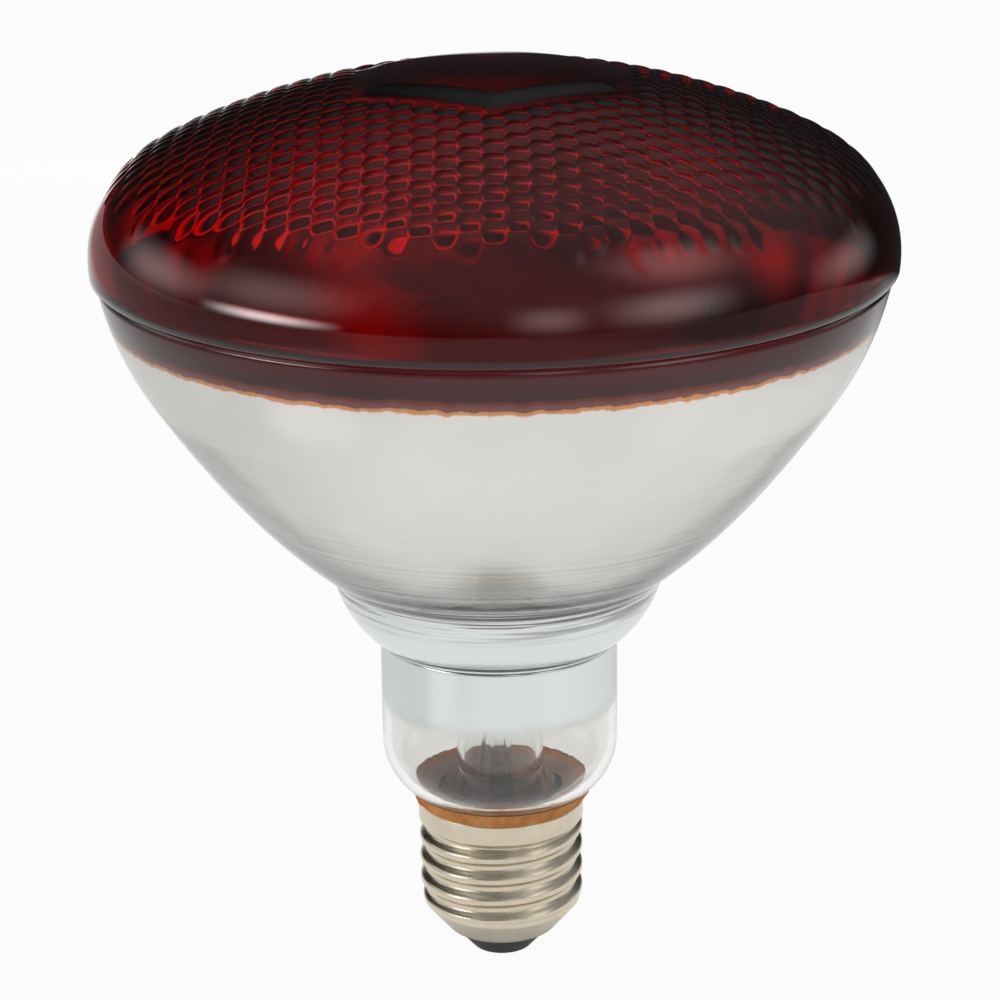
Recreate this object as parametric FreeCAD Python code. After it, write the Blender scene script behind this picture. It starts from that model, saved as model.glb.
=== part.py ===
# Infrared reflector heat lamp: a red stippled lens on a silvered glass bowl, with a stem, a
# filament and a rolled screw cap. Millimetres. The axis is Z, and the tip of the cap is at zero.
import FreeCAD, Part
import math
import os
from FreeCAD import Vector

# Screw cap: heights are from the tip, radii are outside the metal
CAP_RIM_Z = 26.8
BARREL_HEIGHT = 3.4
BARREL_PROUD = 0.1
CREST_R = 13.05
THREAD_DEPTH = 1.05
THREAD_PITCH = 3.629
THREAD_CREST_FLAT = 0.9
THREAD_ROOT_FLAT = 0.9
THREAD_LEFT_CREST_Z = 9.3
COLLAR_PROUD = 0.6
COLLAR_Z = 9.2
SHELL_EDGE_R = 9.0
SHELL_EDGE_Z = 4.8
SHELL_WALL = 0.3
BARREL_R = CREST_R + BARREL_PROUD
ROOT_R = CREST_R - THREAD_DEPTH
COLLAR_R = ROOT_R + COLLAR_PROUD
CONE_SLOPE = (COLLAR_R - SHELL_EDGE_R) / (COLLAR_Z - SHELL_EDGE_Z)

# Insulator, contact and solder at the end of the cap
INSULATOR_TOP_Z = 7.6
INSULATOR_DISH = 1.6
INSULATOR_STEP = 0.7
INSULATOR_TIP_R = 4.8
CONTACT_R = 4.0
CONTACT_THICKNESS = 0.4
CONTACT_HOLE_R = 0.9
CONTACT_DROP = 4.0
SOLDER_R = 2.4

# Front lens
SEAM_Z = 114.3
LENS_MAX_R = 60.6
LENS_WIDEST_RISE = 2.3
LENS_SIDE_ROUND = 17.0
LENS_DOME_R = 116.0
LENS_WALL = 3.2
LENS_EDGE_STEP = 0.4

# Bumps on the lens: a six-sided grid. Its middle is plain for this many steps, and raised, with a slope
STIPPLE_PITCH = 3.75
STIPPLE_HEIGHT = 0.45
STIPPLE_VALLEY = 0.08
STIPPLE_SINK = 0.2
STIPPLE_MARGIN = 4.3
STIPPLE_PLAIN_STEPS = 6
PLATEAU_RISE = 0.6
PLATEAU_SLOPE_STEPS = 4 / 3

# Reflector bowl and neck. The parabola is as wide at its top as a share of the rim
RIM_STEP = 0.9
RIM_BAND = 18.1
BOWL_CURVE_SHARE = 0.881
BOWL_RIM_WALL = 2.4
BOWL_BACK_WALL = 3.1
NECK_R = 18.6
NECK_WALL = 1.3
NECK_TOP_Z = 54.5
NECK_GAP = 0.4
NECK_FLAT_R = 8.1
VERTEX_RISE = 1.6
SHOULDER_HEIGHT = 11.3
SHOULDER_BULGE = 1.25
SEAL_GAP = 1.7
SEAL_LENGTH = 6.5
BOWL_RIM_R = LENS_MAX_R - RIM_STEP
BOWL_CURVE_TOP_Z = SEAM_Z - RIM_BAND
BOWL_VERTEX_Z = NECK_TOP_Z + VERTEX_RISE
FOCAL_LENGTH = (BOWL_CURVE_SHARE * BOWL_RIM_R) ** 2 / (4 * (BOWL_CURVE_TOP_Z - BOWL_VERTEX_Z))
CREASE_Z = NECK_TOP_Z + SHOULDER_HEIGHT
NECK_END_Z = CAP_RIM_Z + NECK_GAP
NECK_END_ROUND = NECK_R - NECK_FLAT_R
SEAL_R = ROOT_R - SHELL_WALL - SEAL_GAP
SEAL_LOW_Z = NECK_END_Z - SEAL_LENGTH

# Stem: tube, flare and press
STEM_R = 6.8
STEM_WALL = 1.0
FLARE_RISE = 5.0
FLARE_DROP = 2.5
STEM_LENGTH = 18.0
PRESS_TAPER = 5.0
PRESS_HEIGHT = 7.0
PRESS_HALF_WIDTH = 7.0
PRESS_HALF_THICKNESS = 2.4
STEM_DOME = 2.0
BLOW_HOLE_R = 0.8
EXHAUST_R = 1.8
EXHAUST_WALL = 0.6
EXHAUST_DROP = 6.5
EXHAUST_SEAT = 1.5
FLARE_START_Z = NECK_END_Z + FLARE_RISE
FLARE_RIM_Z = NECK_END_Z - FLARE_DROP
STEM_TUBE_TOP_Z = NECK_END_Z + STEM_LENGTH
PRESS_LOW_Z = STEM_TUBE_TOP_Z + PRESS_TAPER
PRESS_TOP_Z = PRESS_LOW_Z + PRESS_HEIGHT
EXHAUST_TIP_Z = SEAL_LOW_Z - EXHAUST_DROP

# Filament mount
MOUNT_TURN = 70.0
LEAD_SPREAD = 4.0
LEAD_R = 0.4
LEAD_RISE = 10.0
LEAD_SEAT = 4.0
CAP_WIRE_R = 0.3
CAP_WIRE_CLEARANCE = 0.9
CAP_WIRE_LEAN = 25.0
WIRE_BEND = 0.8
ARBOR_R = 1.4
ARBOR_SEAT = 3.0
BUTTON_R = 2.4
BUTTON_RISE = 10.0
FILAMENT_RING_R = 8.0
FILAMENT_COIL_R = 0.5
FILAMENT_GAP = 70.0
CLAMP_R = 0.95
CLAMP_LENGTH = 2.4
SUPPORT_R = 0.2
SUPPORT_COUNT = 3
SUPPORT_STEP = 70.0
SUPPORT_CLEARANCE = 0.15
LEAD_BEND_Z = PRESS_TOP_Z + LEAD_RISE
LEAD_SEAT_Z = PRESS_TOP_Z - LEAD_SEAT
BUTTON_Z = PRESS_TOP_Z + BUTTON_RISE
FILAMENT_Z = BOWL_VERTEX_Z + BOWL_BACK_WALL + FOCAL_LENGTH

# Cement and the side wire's way out over the rim
CEMENT_DEPTH = 2.8
CEMENT_DRIP = 2.0
CEMENT_BULGE = 0.4
CEMENT_RISE = 2.6
SIDE_WIRE_DROP = 1.9
RIM_WIRE_CLEARANCE = 0.1
SIDE_SOLDER_R = 1.2
CEMENT_LOW_Z = CAP_RIM_Z - CEMENT_DEPTH
CEMENT_TOP_Z = CAP_RIM_Z + CEMENT_RISE
SIDE_WIRE_R = (SEAL_R + ROOT_R - SHELL_WALL) / 2
SIDE_WIRE_LOW_Z = SEAL_LOW_Z - SIDE_WIRE_DROP

AXIS = Vector(0, 0, 1)
ORIGIN = Vector(0, 0, 0)


def polar(radius, angle, z):
    """A point at a radius, an angle in degrees and a height."""
    turn = math.radians(angle)
    return Vector(radius * math.cos(turn), radius * math.sin(turn), z)


class Section:
    """A half section, drawn point by point as radius and height, to be turned about the axis."""

    def __init__(self, radius, z):
        self.first = Vector(radius, 0, z)
        self.here = self.first
        self.edges = []

    def line(self, radius, z):
        end = Vector(radius, 0, z)
        self.edges.append(Part.makeLine(self.here, end))
        self.here = end
        return self

    def arc(self, middle, radius, z):
        """An arc by a point on the way, given as radius and height."""
        end = Vector(radius, 0, z)
        self.edges.append(Part.Arc(self.here, Vector(middle[0], 0, middle[1]), end).toShape())
        self.here = end
        return self

    def arc_about(self, centre, radius, z):
        """The short arc about a centre."""
        hub = Vector(centre[0], 0, centre[1])
        size = (self.here - hub).Length
        half = (self.here - hub).normalize() + (Vector(radius, 0, z) - hub).normalize()
        middle = hub + half.normalize() * size
        return self.arc((middle.x, middle.z), radius, z)

    def parabola(self, vertex_z, radius, z):
        """A stretch of the reflector's parabola: its two tangents meet at the middle pole."""
        pole = Vector((self.here.x + radius) / 2, 0, vertex_z + self.here.x * radius / (4 * FOCAL_LENGTH))
        end = Vector(radius, 0, z)
        curve = Part.BezierCurve()
        curve.setPoles([self.here, pole, end])
        self.edges.append(curve.toShape())
        self.here = end
        return self

    def tangent_arc(self, slope, radius, z):
        """An arc that leaves along a slope, which is radius gained for each unit of height."""
        end = Vector(radius, 0, z)
        chord = end - self.here
        way = Vector(slope, 0, 1).normalize()
        across = Vector(way.z, 0, -way.x)
        size = chord.dot(chord) / (2 * chord.dot(across))
        hub = self.here + across * size
        return self.arc_about((hub.x, hub.z), radius, z)

    def solid(self):
        if (self.here - self.first).Length > 1e-6:
            self.line(self.first.x, self.first.z)
        return Part.Face(Part.Wire(self.edges)).revolve(ORIGIN, AXIS, 360)


def paraboloid_r(vertex_z, z):
    return math.sqrt(4 * FOCAL_LENGTH * (z - vertex_z))


def wire_tube(points, radius, bend=WIRE_BEND):
    """Round wire along straight runs, with an arc at each corner."""
    edges = []
    here = points[0]
    for before, corner, after in zip(points, points[1:], points[2:]):
        back = (before - corner).normalize()
        ahead = (after - corner).normalize()
        half_turn = (math.pi - back.getAngle(ahead)) / 2
        trim = bend * math.tan(half_turn)
        inward = (back + ahead).normalize()
        middle = corner + inward * (bend / math.cos(half_turn) - bend)
        edges.append(Part.makeLine(here, corner + back * trim))
        edges.append(Part.Arc(corner + back * trim, middle, corner + ahead * trim).toShape())
        here = corner + ahead * trim
    edges.append(Part.makeLine(here, points[-1]))
    profile = Part.Wire(Part.makeCircle(radius, points[0], points[1] - points[0]))
    return Part.Wire(edges).makePipeShell([profile], True, False)


def thread_ridge(inset):
    """The helical ridge of the rolled thread, or the same ridge one wall further in."""
    half_crest = THREAD_CREST_FLAT / 2
    half_foot = (THREAD_PITCH - THREAD_ROOT_FLAT) / 2
    spread = (half_foot - half_crest) / (CREST_R - ROOT_R)
    narrowing = inset * math.tan(math.atan2(1, spread) / 2)
    crest = CREST_R - inset
    sunk = ROOT_R - inset - SHELL_WALL
    half_sunk = half_crest + spread * (crest - sunk)
    outline = [(sunk, narrowing - half_sunk), (crest, narrowing - half_crest),
               (crest, half_crest - narrowing), (sunk, half_sunk - narrowing)]
    low = THREAD_LEFT_CREST_Z - THREAD_PITCH / 2
    high = CAP_RIM_Z - BARREL_HEIGHT + half_foot
    points = [Vector(radius, 0, low + z) for radius, z in outline]
    helix = Part.makeHelix(THREAD_PITCH, high - low, crest)
    helix.translate(Vector(0, 0, low))
    return Part.Wire(helix.Edges).makePipeShell([Part.makePolygon(points + points[:1])], True, True)


def cone_r(inset, z):
    """Radius of the cone at the shell's lower end, or of the same cone one wall further in."""
    return SHELL_EDGE_R + CONE_SLOPE * (z - SHELL_EDGE_Z) - inset * math.hypot(1, CONE_SLOPE)


def cone_z(inset, radius):
    """Height at which that cone has this radius."""
    return SHELL_EDGE_Z + (radius - cone_r(inset, SHELL_EDGE_Z)) / CONE_SLOPE


def cap_plug(inset):
    """The cap as a filled plug: outside form at no inset, the hollow of the shell at one wall."""
    floor = SHELL_EDGE_Z + inset
    root = ROOT_R - inset
    collar = COLLAR_R - inset
    barrel = BARREL_R - inset
    thread_top = CAP_RIM_Z - BARREL_HEIGHT
    collar_step = COLLAR_R - ROOT_R
    core = Section(0, floor).line(cone_r(inset, floor), floor).line(collar, cone_z(inset, collar))
    core.line(collar, COLLAR_Z + collar_step).line(root, COLLAR_Z + 2 * collar_step)
    core.line(root, thread_top - (BARREL_R - ROOT_R)).line(barrel, thread_top).line(barrel, CAP_RIM_Z)
    core.line(0, CAP_RIM_Z)
    run_out_z = COLLAR_Z + collar_step
    reach = Section(0, floor + inset).line(root, COLLAR_Z)
    reach.line(root + 2 * barrel, run_out_z + 2 * barrel).line(0, run_out_z + 2 * barrel)
    return core.solid().fuse(thread_ridge(inset).common(reach.solid()))


def cap_shell():
    floor_hole = Part.makeCylinder(SHELL_EDGE_R, COLLAR_Z, ORIGIN)
    return cap_plug(0).cut(cap_plug(SHELL_WALL)).cut(floor_hole)


def cap_insulator():
    """Black glass, moulded into the cone of the shell and out through its open end."""
    tip = SHELL_EDGE_Z - CONTACT_DROP
    body = Section(0, tip).line(INSULATOR_TIP_R, tip).line(SHELL_EDGE_R - INSULATOR_STEP, SHELL_EDGE_Z)
    body.line(SHELL_EDGE_R, SHELL_EDGE_Z).line(SHELL_EDGE_R, cone_z(SHELL_WALL, SHELL_EDGE_R))
    body.line(cone_r(SHELL_WALL, INSULATOR_TOP_Z), INSULATOR_TOP_Z).line(0, INSULATOR_TOP_Z - INSULATOR_DISH)
    wire_hole = Part.makeCylinder(CONTACT_HOLE_R, INSULATOR_TOP_Z, ORIGIN)
    return body.solid().cut(wire_hole)


def centre_contact():
    top = SHELL_EDGE_Z - CONTACT_DROP
    ring = Section(CONTACT_HOLE_R, top).line(CONTACT_HOLE_R, top - CONTACT_THICKNESS)
    ring.line(CONTACT_R - CONTACT_THICKNESS / 2, top - CONTACT_THICKNESS)
    ring.arc_about((CONTACT_R - CONTACT_THICKNESS / 2, top - CONTACT_THICKNESS / 2),
                   CONTACT_R, top - CONTACT_THICKNESS / 2)
    ring.line(CONTACT_R, top)
    return ring.solid()


def centre_solder(wire):
    """A dome of solder that reaches down to the tip of the cap."""
    top = SHELL_EDGE_Z - CONTACT_DROP - CONTACT_THICKNESS
    sphere_r = (SOLDER_R ** 2 + top ** 2) / (2 * top)
    dome = Section(0, top).line(SOLDER_R, top).arc_about((0, sphere_r), 0, 0).solid()
    return dome.cut(wire)


def lens_circles():
    """Centres of the lens's side round and of its dome, as radius and height."""
    widest = SEAM_Z + LENS_WIDEST_RISE
    side = (LENS_MAX_R - LENS_SIDE_ROUND, widest)
    apart = LENS_DOME_R - LENS_SIDE_ROUND
    dome = (0, widest - math.sqrt(apart ** 2 - side[0] ** 2))
    return side, dome


def lens_meeting(dome_r):
    """The point where the side round runs into a dome of this radius about the same centre."""
    side, dome = lens_circles()
    apart = LENS_DOME_R - LENS_SIDE_ROUND
    share = dome_r / apart
    return side[0] * share, dome[1] + (side[1] - dome[1]) * share


def lens_top_z(radius):
    """Height of the lens's outside at a radius, without its bumps."""
    side, dome = lens_circles()
    if radius < lens_meeting(LENS_DOME_R)[0]:
        return dome[1] + math.sqrt(LENS_DOME_R ** 2 - radius ** 2)
    return side[1] + math.sqrt(LENS_SIDE_ROUND ** 2 - (radius - side[0]) ** 2)


def grid_place(key):
    """A place of the six-sided grid in plan. Keys count in thirds of a step along two of its lines."""
    column = STIPPLE_PITCH * math.sqrt(3) / 2
    return key[0] / 3 * column, (key[1] + key[0] / 2) / 3 * STIPPLE_PITCH


def grid_point(key, rise):
    x, y = grid_place(key)
    return Vector(x, y, lens_top_z(math.hypot(x, y)) + rise)


def plain_steps(key):
    """Six-sided distance of a place from the middle of the grid, in steps."""
    return max(abs(key[0]), abs(key[1]), abs(key[0] + key[1])) / 3


def plain_rise(key):
    """Rise of the plain middle: level on the plateau, then down its slope to the valleys."""
    share = (STIPPLE_PLAIN_STEPS - plain_steps(key)) / PLATEAU_SLOPE_STEPS
    return max(STIPPLE_VALLEY, PLATEAU_RISE * min(share, 1))


def stipple_cells():
    """The keys of the middles of the grid's cells."""
    reach = LENS_MAX_R - STIPPLE_MARGIN
    steps = 2 * math.ceil(reach / STIPPLE_PITCH)
    keys = [(3 * i, 3 * j) for i in range(-steps, steps + 1) for j in range(-steps, steps + 1)]
    return [key for key in keys if math.hypot(*grid_place(key)) <= reach]


def lens_stipple(floor_z):
    """A block with a six-sided bump on each cell. Its outer corners run down into the lens, where
    its walls and floor stay."""
    corner_steps = ((2, -1), (1, 1), (-1, 2), (-2, 1), (-1, -1), (1, -2))
    rings = {}
    cells_at = {}
    for key in stipple_cells():
        rings[key] = [(key[0] + i, key[1] + j) for i, j in corner_steps]
        for corner in rings[key]:
            cells_at[corner] = cells_at.get(corner, 0) + 1
    corners = {}
    for corner, count in cells_at.items():
        corners[corner] = grid_point(corner, plain_rise(corner) if count == 3 else -STIPPLE_SINK)
    faces = []
    outline = {}
    for key, ring in rings.items():
        plain = plain_steps(key) <= STIPPLE_PLAIN_STEPS
        top = grid_point(key, plain_rise(key) if plain else STIPPLE_HEIGHT)
        for here, there in zip(ring, ring[1:] + ring[:1]):
            faces.append(Part.Face(Part.makePolygon([top, corners[here], corners[there], top])))
            if outline.get(there) == here:
                del outline[there]
            else:
                outline[here] = there
    here = next(iter(outline))
    loop = []
    for _ in outline:
        loop.append(corners[here])
        here = outline[here]
    floor = [Vector(point.x, point.y, floor_z) for point in loop]
    for n, point in enumerate(loop):
        faces.append(Part.Face(Part.makePolygon([loop[n - 1], floor[n - 1], floor[n], point, loop[n - 1]])))
    faces.append(Part.Face(Part.makePolygon(floor + floor[:1])))
    shell = Part.makeShell(faces)
    shell.sewShape()
    return Part.makeSolid(shell)


def front_lens():
    """A pressed cap of glass: side round, dome and bumps outside, smooth inside."""
    side, dome = lens_circles()
    inner_round = LENS_SIDE_ROUND - LENS_WALL
    inner_dome = LENS_DOME_R - LENS_WALL
    foot_r = side[0] + math.sqrt(LENS_SIDE_ROUND ** 2 - (LENS_WIDEST_RISE - LENS_EDGE_STEP) ** 2)
    inner_foot_r = side[0] + math.sqrt(inner_round ** 2 - LENS_WIDEST_RISE ** 2)
    outside = Section(0, SEAM_Z).line(foot_r - LENS_EDGE_STEP, SEAM_Z)
    outside.line(foot_r, SEAM_Z + LENS_EDGE_STEP)
    outside.arc_about(side, *lens_meeting(LENS_DOME_R)).arc_about(dome, 0, dome[1] + LENS_DOME_R)
    inside = Section(0, SEAM_Z).line(inner_foot_r, SEAM_Z)
    inside.arc_about(side, *lens_meeting(inner_dome)).arc_about(dome, 0, dome[1] + inner_dome)
    return outside.solid().fuse(lens_stipple(side[1])).cut(inside.solid())


def reflector_bowl():
    """Seal collar, rounded neck end, neck, shoulder and paraboloid, as one wall of glass."""
    inner_vertex = BOWL_VERTEX_Z + BOWL_BACK_WALL
    round_centre = (NECK_R - NECK_END_ROUND, NECK_END_Z + NECK_END_ROUND)
    inner_neck = NECK_R - NECK_WALL
    inner_seal = SEAL_R - NECK_WALL
    crease_r = paraboloid_r(BOWL_VERTEX_Z, CREASE_Z)
    inner_crease_z = CREASE_Z + NECK_WALL
    inner_crease_r = paraboloid_r(inner_vertex, inner_crease_z)
    curve_top_r = paraboloid_r(BOWL_VERTEX_Z, BOWL_CURVE_TOP_Z)
    inner_top_r = paraboloid_r(inner_vertex, BOWL_CURVE_TOP_Z)
    slope = 2 * FOCAL_LENGTH / curve_top_r
    inner_slope = 2 * FOCAL_LENGTH / inner_top_r

    def round_height(radius, size):
        return round_centre[1] - math.sqrt(size ** 2 - (radius - round_centre[0]) ** 2)

    def bulge(low, high):
        """The middle of the shoulder's arc between two points."""
        chord = Vector(high[0] - low[0], 0, high[1] - low[1])
        out = Vector(chord.z, 0, -chord.x).normalize() * SHOULDER_BULGE
        return (low[0] + high[0]) / 2 + out.x, (low[1] + high[1]) / 2 + out.z

    bowl = Section(inner_seal, SEAL_LOW_Z).line(SEAL_R, SEAL_LOW_Z)
    bowl.line(SEAL_R, round_height(SEAL_R, NECK_END_ROUND))
    bowl.arc_about(round_centre, NECK_R, round_centre[1])
    bowl.line(NECK_R, NECK_TOP_Z)
    bowl.arc(bulge((NECK_R, NECK_TOP_Z), (crease_r, CREASE_Z)), crease_r, CREASE_Z)
    bowl.parabola(BOWL_VERTEX_Z, curve_top_r, BOWL_CURVE_TOP_Z)
    bowl.tangent_arc(slope, BOWL_RIM_R, SEAM_Z)
    bowl.line(BOWL_RIM_R - BOWL_RIM_WALL, SEAM_Z)
    rim_arc = Section(inner_top_r, BOWL_CURVE_TOP_Z)
    rim_arc.tangent_arc(inner_slope, BOWL_RIM_R - BOWL_RIM_WALL, SEAM_Z)
    bowl.edges += rim_arc.edges
    bowl.here = rim_arc.first
    bowl.parabola(inner_vertex, inner_crease_r, inner_crease_z)
    inner_low = (inner_neck, NECK_TOP_Z + NECK_WALL)
    bowl.arc(bulge(inner_low, (inner_crease_r, inner_crease_z)), *inner_low)
    bowl.line(inner_neck, round_centre[1])
    bowl.arc_about(round_centre, inner_seal, round_height(inner_seal, NECK_END_ROUND - NECK_WALL))
    return bowl.solid()


def stem_blank():
    """Stem tube with a flare that ends in the seal collar, and a press with rounded sides."""
    flare_r = SEAL_R - NECK_WALL
    flare_mid_z = (FLARE_START_Z + FLARE_RIM_Z) / 2
    flare_mid_r = (STEM_R + flare_r) / 2
    bore = STEM_R - STEM_WALL
    dome_z = STEM_TUBE_TOP_Z + STEM_DOME
    tube = Section(flare_r - STEM_WALL, SEAL_LOW_Z).line(flare_r, SEAL_LOW_Z).line(flare_r, FLARE_RIM_Z)
    tube.line(flare_mid_r, flare_mid_z).line(STEM_R, FLARE_START_Z).line(STEM_R, STEM_TUBE_TOP_Z)
    tube.line(0, STEM_TUBE_TOP_Z).line(0, STEM_TUBE_TOP_Z - STEM_DOME)
    tube.line(bore, STEM_TUBE_TOP_Z - STEM_DOME).line(bore, FLARE_START_Z)
    tube.line(flare_mid_r - STEM_WALL, flare_mid_z).line(flare_r - STEM_WALL, FLARE_RIM_Z)
    ends = []
    for half_width, half_thickness, z in ((STEM_R, STEM_R, STEM_TUBE_TOP_Z),
                                          (PRESS_HALF_WIDTH, PRESS_HALF_THICKNESS, PRESS_LOW_Z)):
        ends.append(press_outline(half_width, half_thickness, z))
    taper = Part.makeLoft(ends, True, True)
    press = Part.Face(ends[1]).extrude(AXIS * (PRESS_TOP_Z - PRESS_LOW_Z))
    hollow = Section(0, STEM_TUBE_TOP_Z - STEM_DOME).line(bore, STEM_TUBE_TOP_Z - STEM_DOME)
    hollow.line(EXHAUST_R, dome_z).line(0, dome_z)
    return tube.solid().fuse([taper, press]).cut(hollow.solid()).removeSplitter()


def press_outline(half_width, half_thickness, z):
    """A flattened round, with its width along the mount's own line."""
    curve = Part.Circle(Vector(0, 0, z), AXIS, half_width)
    if half_width > half_thickness:
        curve = Part.Ellipse(Vector(0, 0, z), half_width, half_thickness)
    outline = Part.Wire(curve.toShape())
    outline.rotate(ORIGIN, AXIS, MOUNT_TURN)
    return outline


def exhaust_tube():
    """Thin tube from the press to its sealed, tapered tip in the cap."""
    top = STEM_TUBE_TOP_Z + STEM_DOME + EXHAUST_SEAT
    bore = EXHAUST_R - EXHAUST_WALL
    taper_z = EXHAUST_TIP_Z + 2 * EXHAUST_R
    tube = Section(0, EXHAUST_TIP_Z).line(EXHAUST_WALL, EXHAUST_TIP_Z).line(EXHAUST_R, taper_z)
    tube.line(EXHAUST_R, top).line(bore, top).line(bore, taper_z).line(0, taper_z - EXHAUST_R)
    return tube.solid()


def blow_hole():
    """The way from the exhaust tube's bore out through the side of the press."""
    z = STEM_TUBE_TOP_Z + STEM_DOME + EXHAUST_SEAT
    side = polar(1, MOUNT_TURN + 90, 0)
    up = Part.makeCylinder(EXHAUST_R - EXHAUST_WALL, 2 * BLOW_HOLE_R, Vector(0, 0, z))
    out = Part.makeCylinder(BLOW_HOLE_R, STEM_R, Vector(0, 0, z + BLOW_HOLE_R), side)
    return up.fuse(out)


def exhaust_seat():
    top = STEM_TUBE_TOP_Z + STEM_DOME
    return Part.makeCylinder(EXHAUST_R, EXHAUST_SEAT, Vector(0, 0, top))


def filament():
    """The coil as one round bar, bent to a ring with a gap, at the focus of the bowl."""
    start = MOUNT_TURN + 90 + FILAMENT_GAP / 2
    middle = polar(FILAMENT_RING_R, start, FILAMENT_Z)
    face = Part.Face(Part.Wire(Part.makeCircle(FILAMENT_COIL_R, middle, polar(1, start + 90, 0))))
    return face.revolve(ORIGIN, AXIS, 360 - FILAMENT_GAP)


def lead_wire(side, coil):
    """A stiff lead from the press up to one end of the filament, with a clamp round that end."""
    root_angle = MOUNT_TURN if side > 0 else MOUNT_TURN + 180
    end_angle = MOUNT_TURN + 90 - side * FILAMENT_GAP / 2
    tip = polar(FILAMENT_RING_R, end_angle, FILAMENT_Z)
    along = polar(side, end_angle + 90, 0)
    clamp = Part.makeCylinder(CLAMP_R, CLAMP_LENGTH, tip - along * (CLAMP_LENGTH / 2), along)
    points = [polar(LEAD_SPREAD, root_angle, LEAD_SEAT_Z), polar(LEAD_SPREAD, root_angle, LEAD_BEND_Z),
              tip + along * (CLAMP_LENGTH / 4)]
    return wire_tube(points, LEAD_R).fuse(clamp).cut(coil).removeSplitter()


def cap_wire_centre():
    """From the press down the stem, past the exhaust tip and into the centre solder."""
    front = MOUNT_TURN + 180
    solder_z = (SHELL_EDGE_Z - CONTACT_DROP - CONTACT_THICKNESS) / 2
    leave_z = INSULATOR_TOP_Z + WIRE_BEND + CAP_WIRE_R
    in_stem = STEM_R - STEM_WALL - CAP_WIRE_R - CAP_WIRE_CLEARANCE
    by_exhaust = EXHAUST_R + CAP_WIRE_R + CAP_WIRE_CLEARANCE
    points = [polar(LEAD_SPREAD, front, LEAD_SEAT_Z), polar(LEAD_SPREAD, front, STEM_TUBE_TOP_Z),
              polar(in_stem, front - CAP_WIRE_LEAN, FLARE_START_Z),
              polar(by_exhaust, front - CAP_WIRE_LEAN, EXHAUST_TIP_Z),
              Vector(0, 0, leave_z), Vector(0, 0, solder_z)]
    return wire_tube(points, CAP_WIRE_R)


def cap_wire_side():
    """From the press down the stem, under the seal collar and up over the rim of the shell."""
    back = MOUNT_TURN
    over_z = CAP_RIM_Z + RIM_WIRE_CLEARANCE + CAP_WIRE_R
    in_flare = SEAL_R - NECK_WALL - STEM_WALL - CAP_WIRE_R - CAP_WIRE_CLEARANCE
    points = [polar(LEAD_SPREAD, back, LEAD_SEAT_Z), polar(LEAD_SPREAD, back, FLARE_START_Z),
              polar(in_flare, back, SIDE_WIRE_LOW_Z), polar(SIDE_WIRE_R, back, SIDE_WIRE_LOW_Z),
              polar(SIDE_WIRE_R, back, over_z), polar(BARREL_R + CAP_WIRE_R, back, over_z)]
    return wire_tube(points, CAP_WIRE_R)


def support_wires():
    """Wires from the button to hooks round the coil, spread over the closed side of the ring."""
    out = FILAMENT_COIL_R + SUPPORT_CLEARANCE + SUPPORT_R
    wires = []
    for number in range(SUPPORT_COUNT):
        angle = MOUNT_TURN - 90 + (number - (SUPPORT_COUNT - 1) / 2) * SUPPORT_STEP
        coil = polar(FILAMENT_RING_R, angle, FILAMENT_Z)
        away = polar(1, angle, 0)
        points = [polar(BUTTON_R / 2, angle, BUTTON_Z), coil - away * out - AXIS * out,
                  coil + away * out - AXIS * out, coil + away * out + AXIS * out]
        wires.append(wire_tube(points, SUPPORT_R, 2 * SUPPORT_R))
    return wires


def arbor_rod(supports):
    """Glass rod from the press to the button that holds the supports."""
    low = PRESS_TOP_Z - ARBOR_SEAT
    rod = Part.makeCylinder(ARBOR_R, BUTTON_Z - low, Vector(0, 0, low))
    button = Part.makeSphere(BUTTON_R, Vector(0, 0, BUTTON_Z))
    return rod.fuse(button).cut(supports).removeSplitter()


def side_solder(wire):
    """Solder on top of the rim, where the side wire comes over it."""
    blob = Part.makeSphere(SIDE_SOLDER_R, polar(BARREL_R, MOUNT_TURN, CAP_RIM_Z))
    under_rim = Part.makeCylinder(BARREL_R + 2 * SIDE_SOLDER_R, CAP_RIM_Z, ORIGIN)
    inside = Part.makeCylinder(BARREL_R - SHELL_WALL, CEMENT_TOP_Z, ORIGIN)
    return blob.cut([under_rim, inside, wire])


def cap_cement(wire, solder):
    """Cement between the seal collar and the shell, squeezed out in a bead under the neck."""
    round_centre = (NECK_R - NECK_END_ROUND, NECK_END_Z + NECK_END_ROUND)
    inside = BARREL_R - SHELL_WALL
    seal_top = round_centre[1] - math.sqrt(NECK_END_ROUND ** 2 - (SEAL_R - round_centre[0]) ** 2)
    bead_r = round_centre[0] + math.sqrt(NECK_END_ROUND ** 2 - (round_centre[1] - CEMENT_TOP_Z) ** 2)
    belly = ((BARREL_R + bead_r) / 2, (CAP_RIM_Z + CEMENT_TOP_Z) / 2 - CEMENT_BULGE)
    ring = Section(SEAL_R, CEMENT_LOW_Z - CEMENT_DRIP).line(SEAL_R, seal_top)
    ring.arc_about(round_centre, bead_r, CEMENT_TOP_Z)
    ring.arc(belly, BARREL_R, CAP_RIM_Z).line(inside, CAP_RIM_Z).line(inside, CEMENT_LOW_Z)
    return ring.solid().cut([wire, solder])


def stem_flare(bodies_in_glass):
    return stem_blank().cut(exhaust_seat()).cut(blow_hole()).cut(bodies_in_glass)


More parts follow.
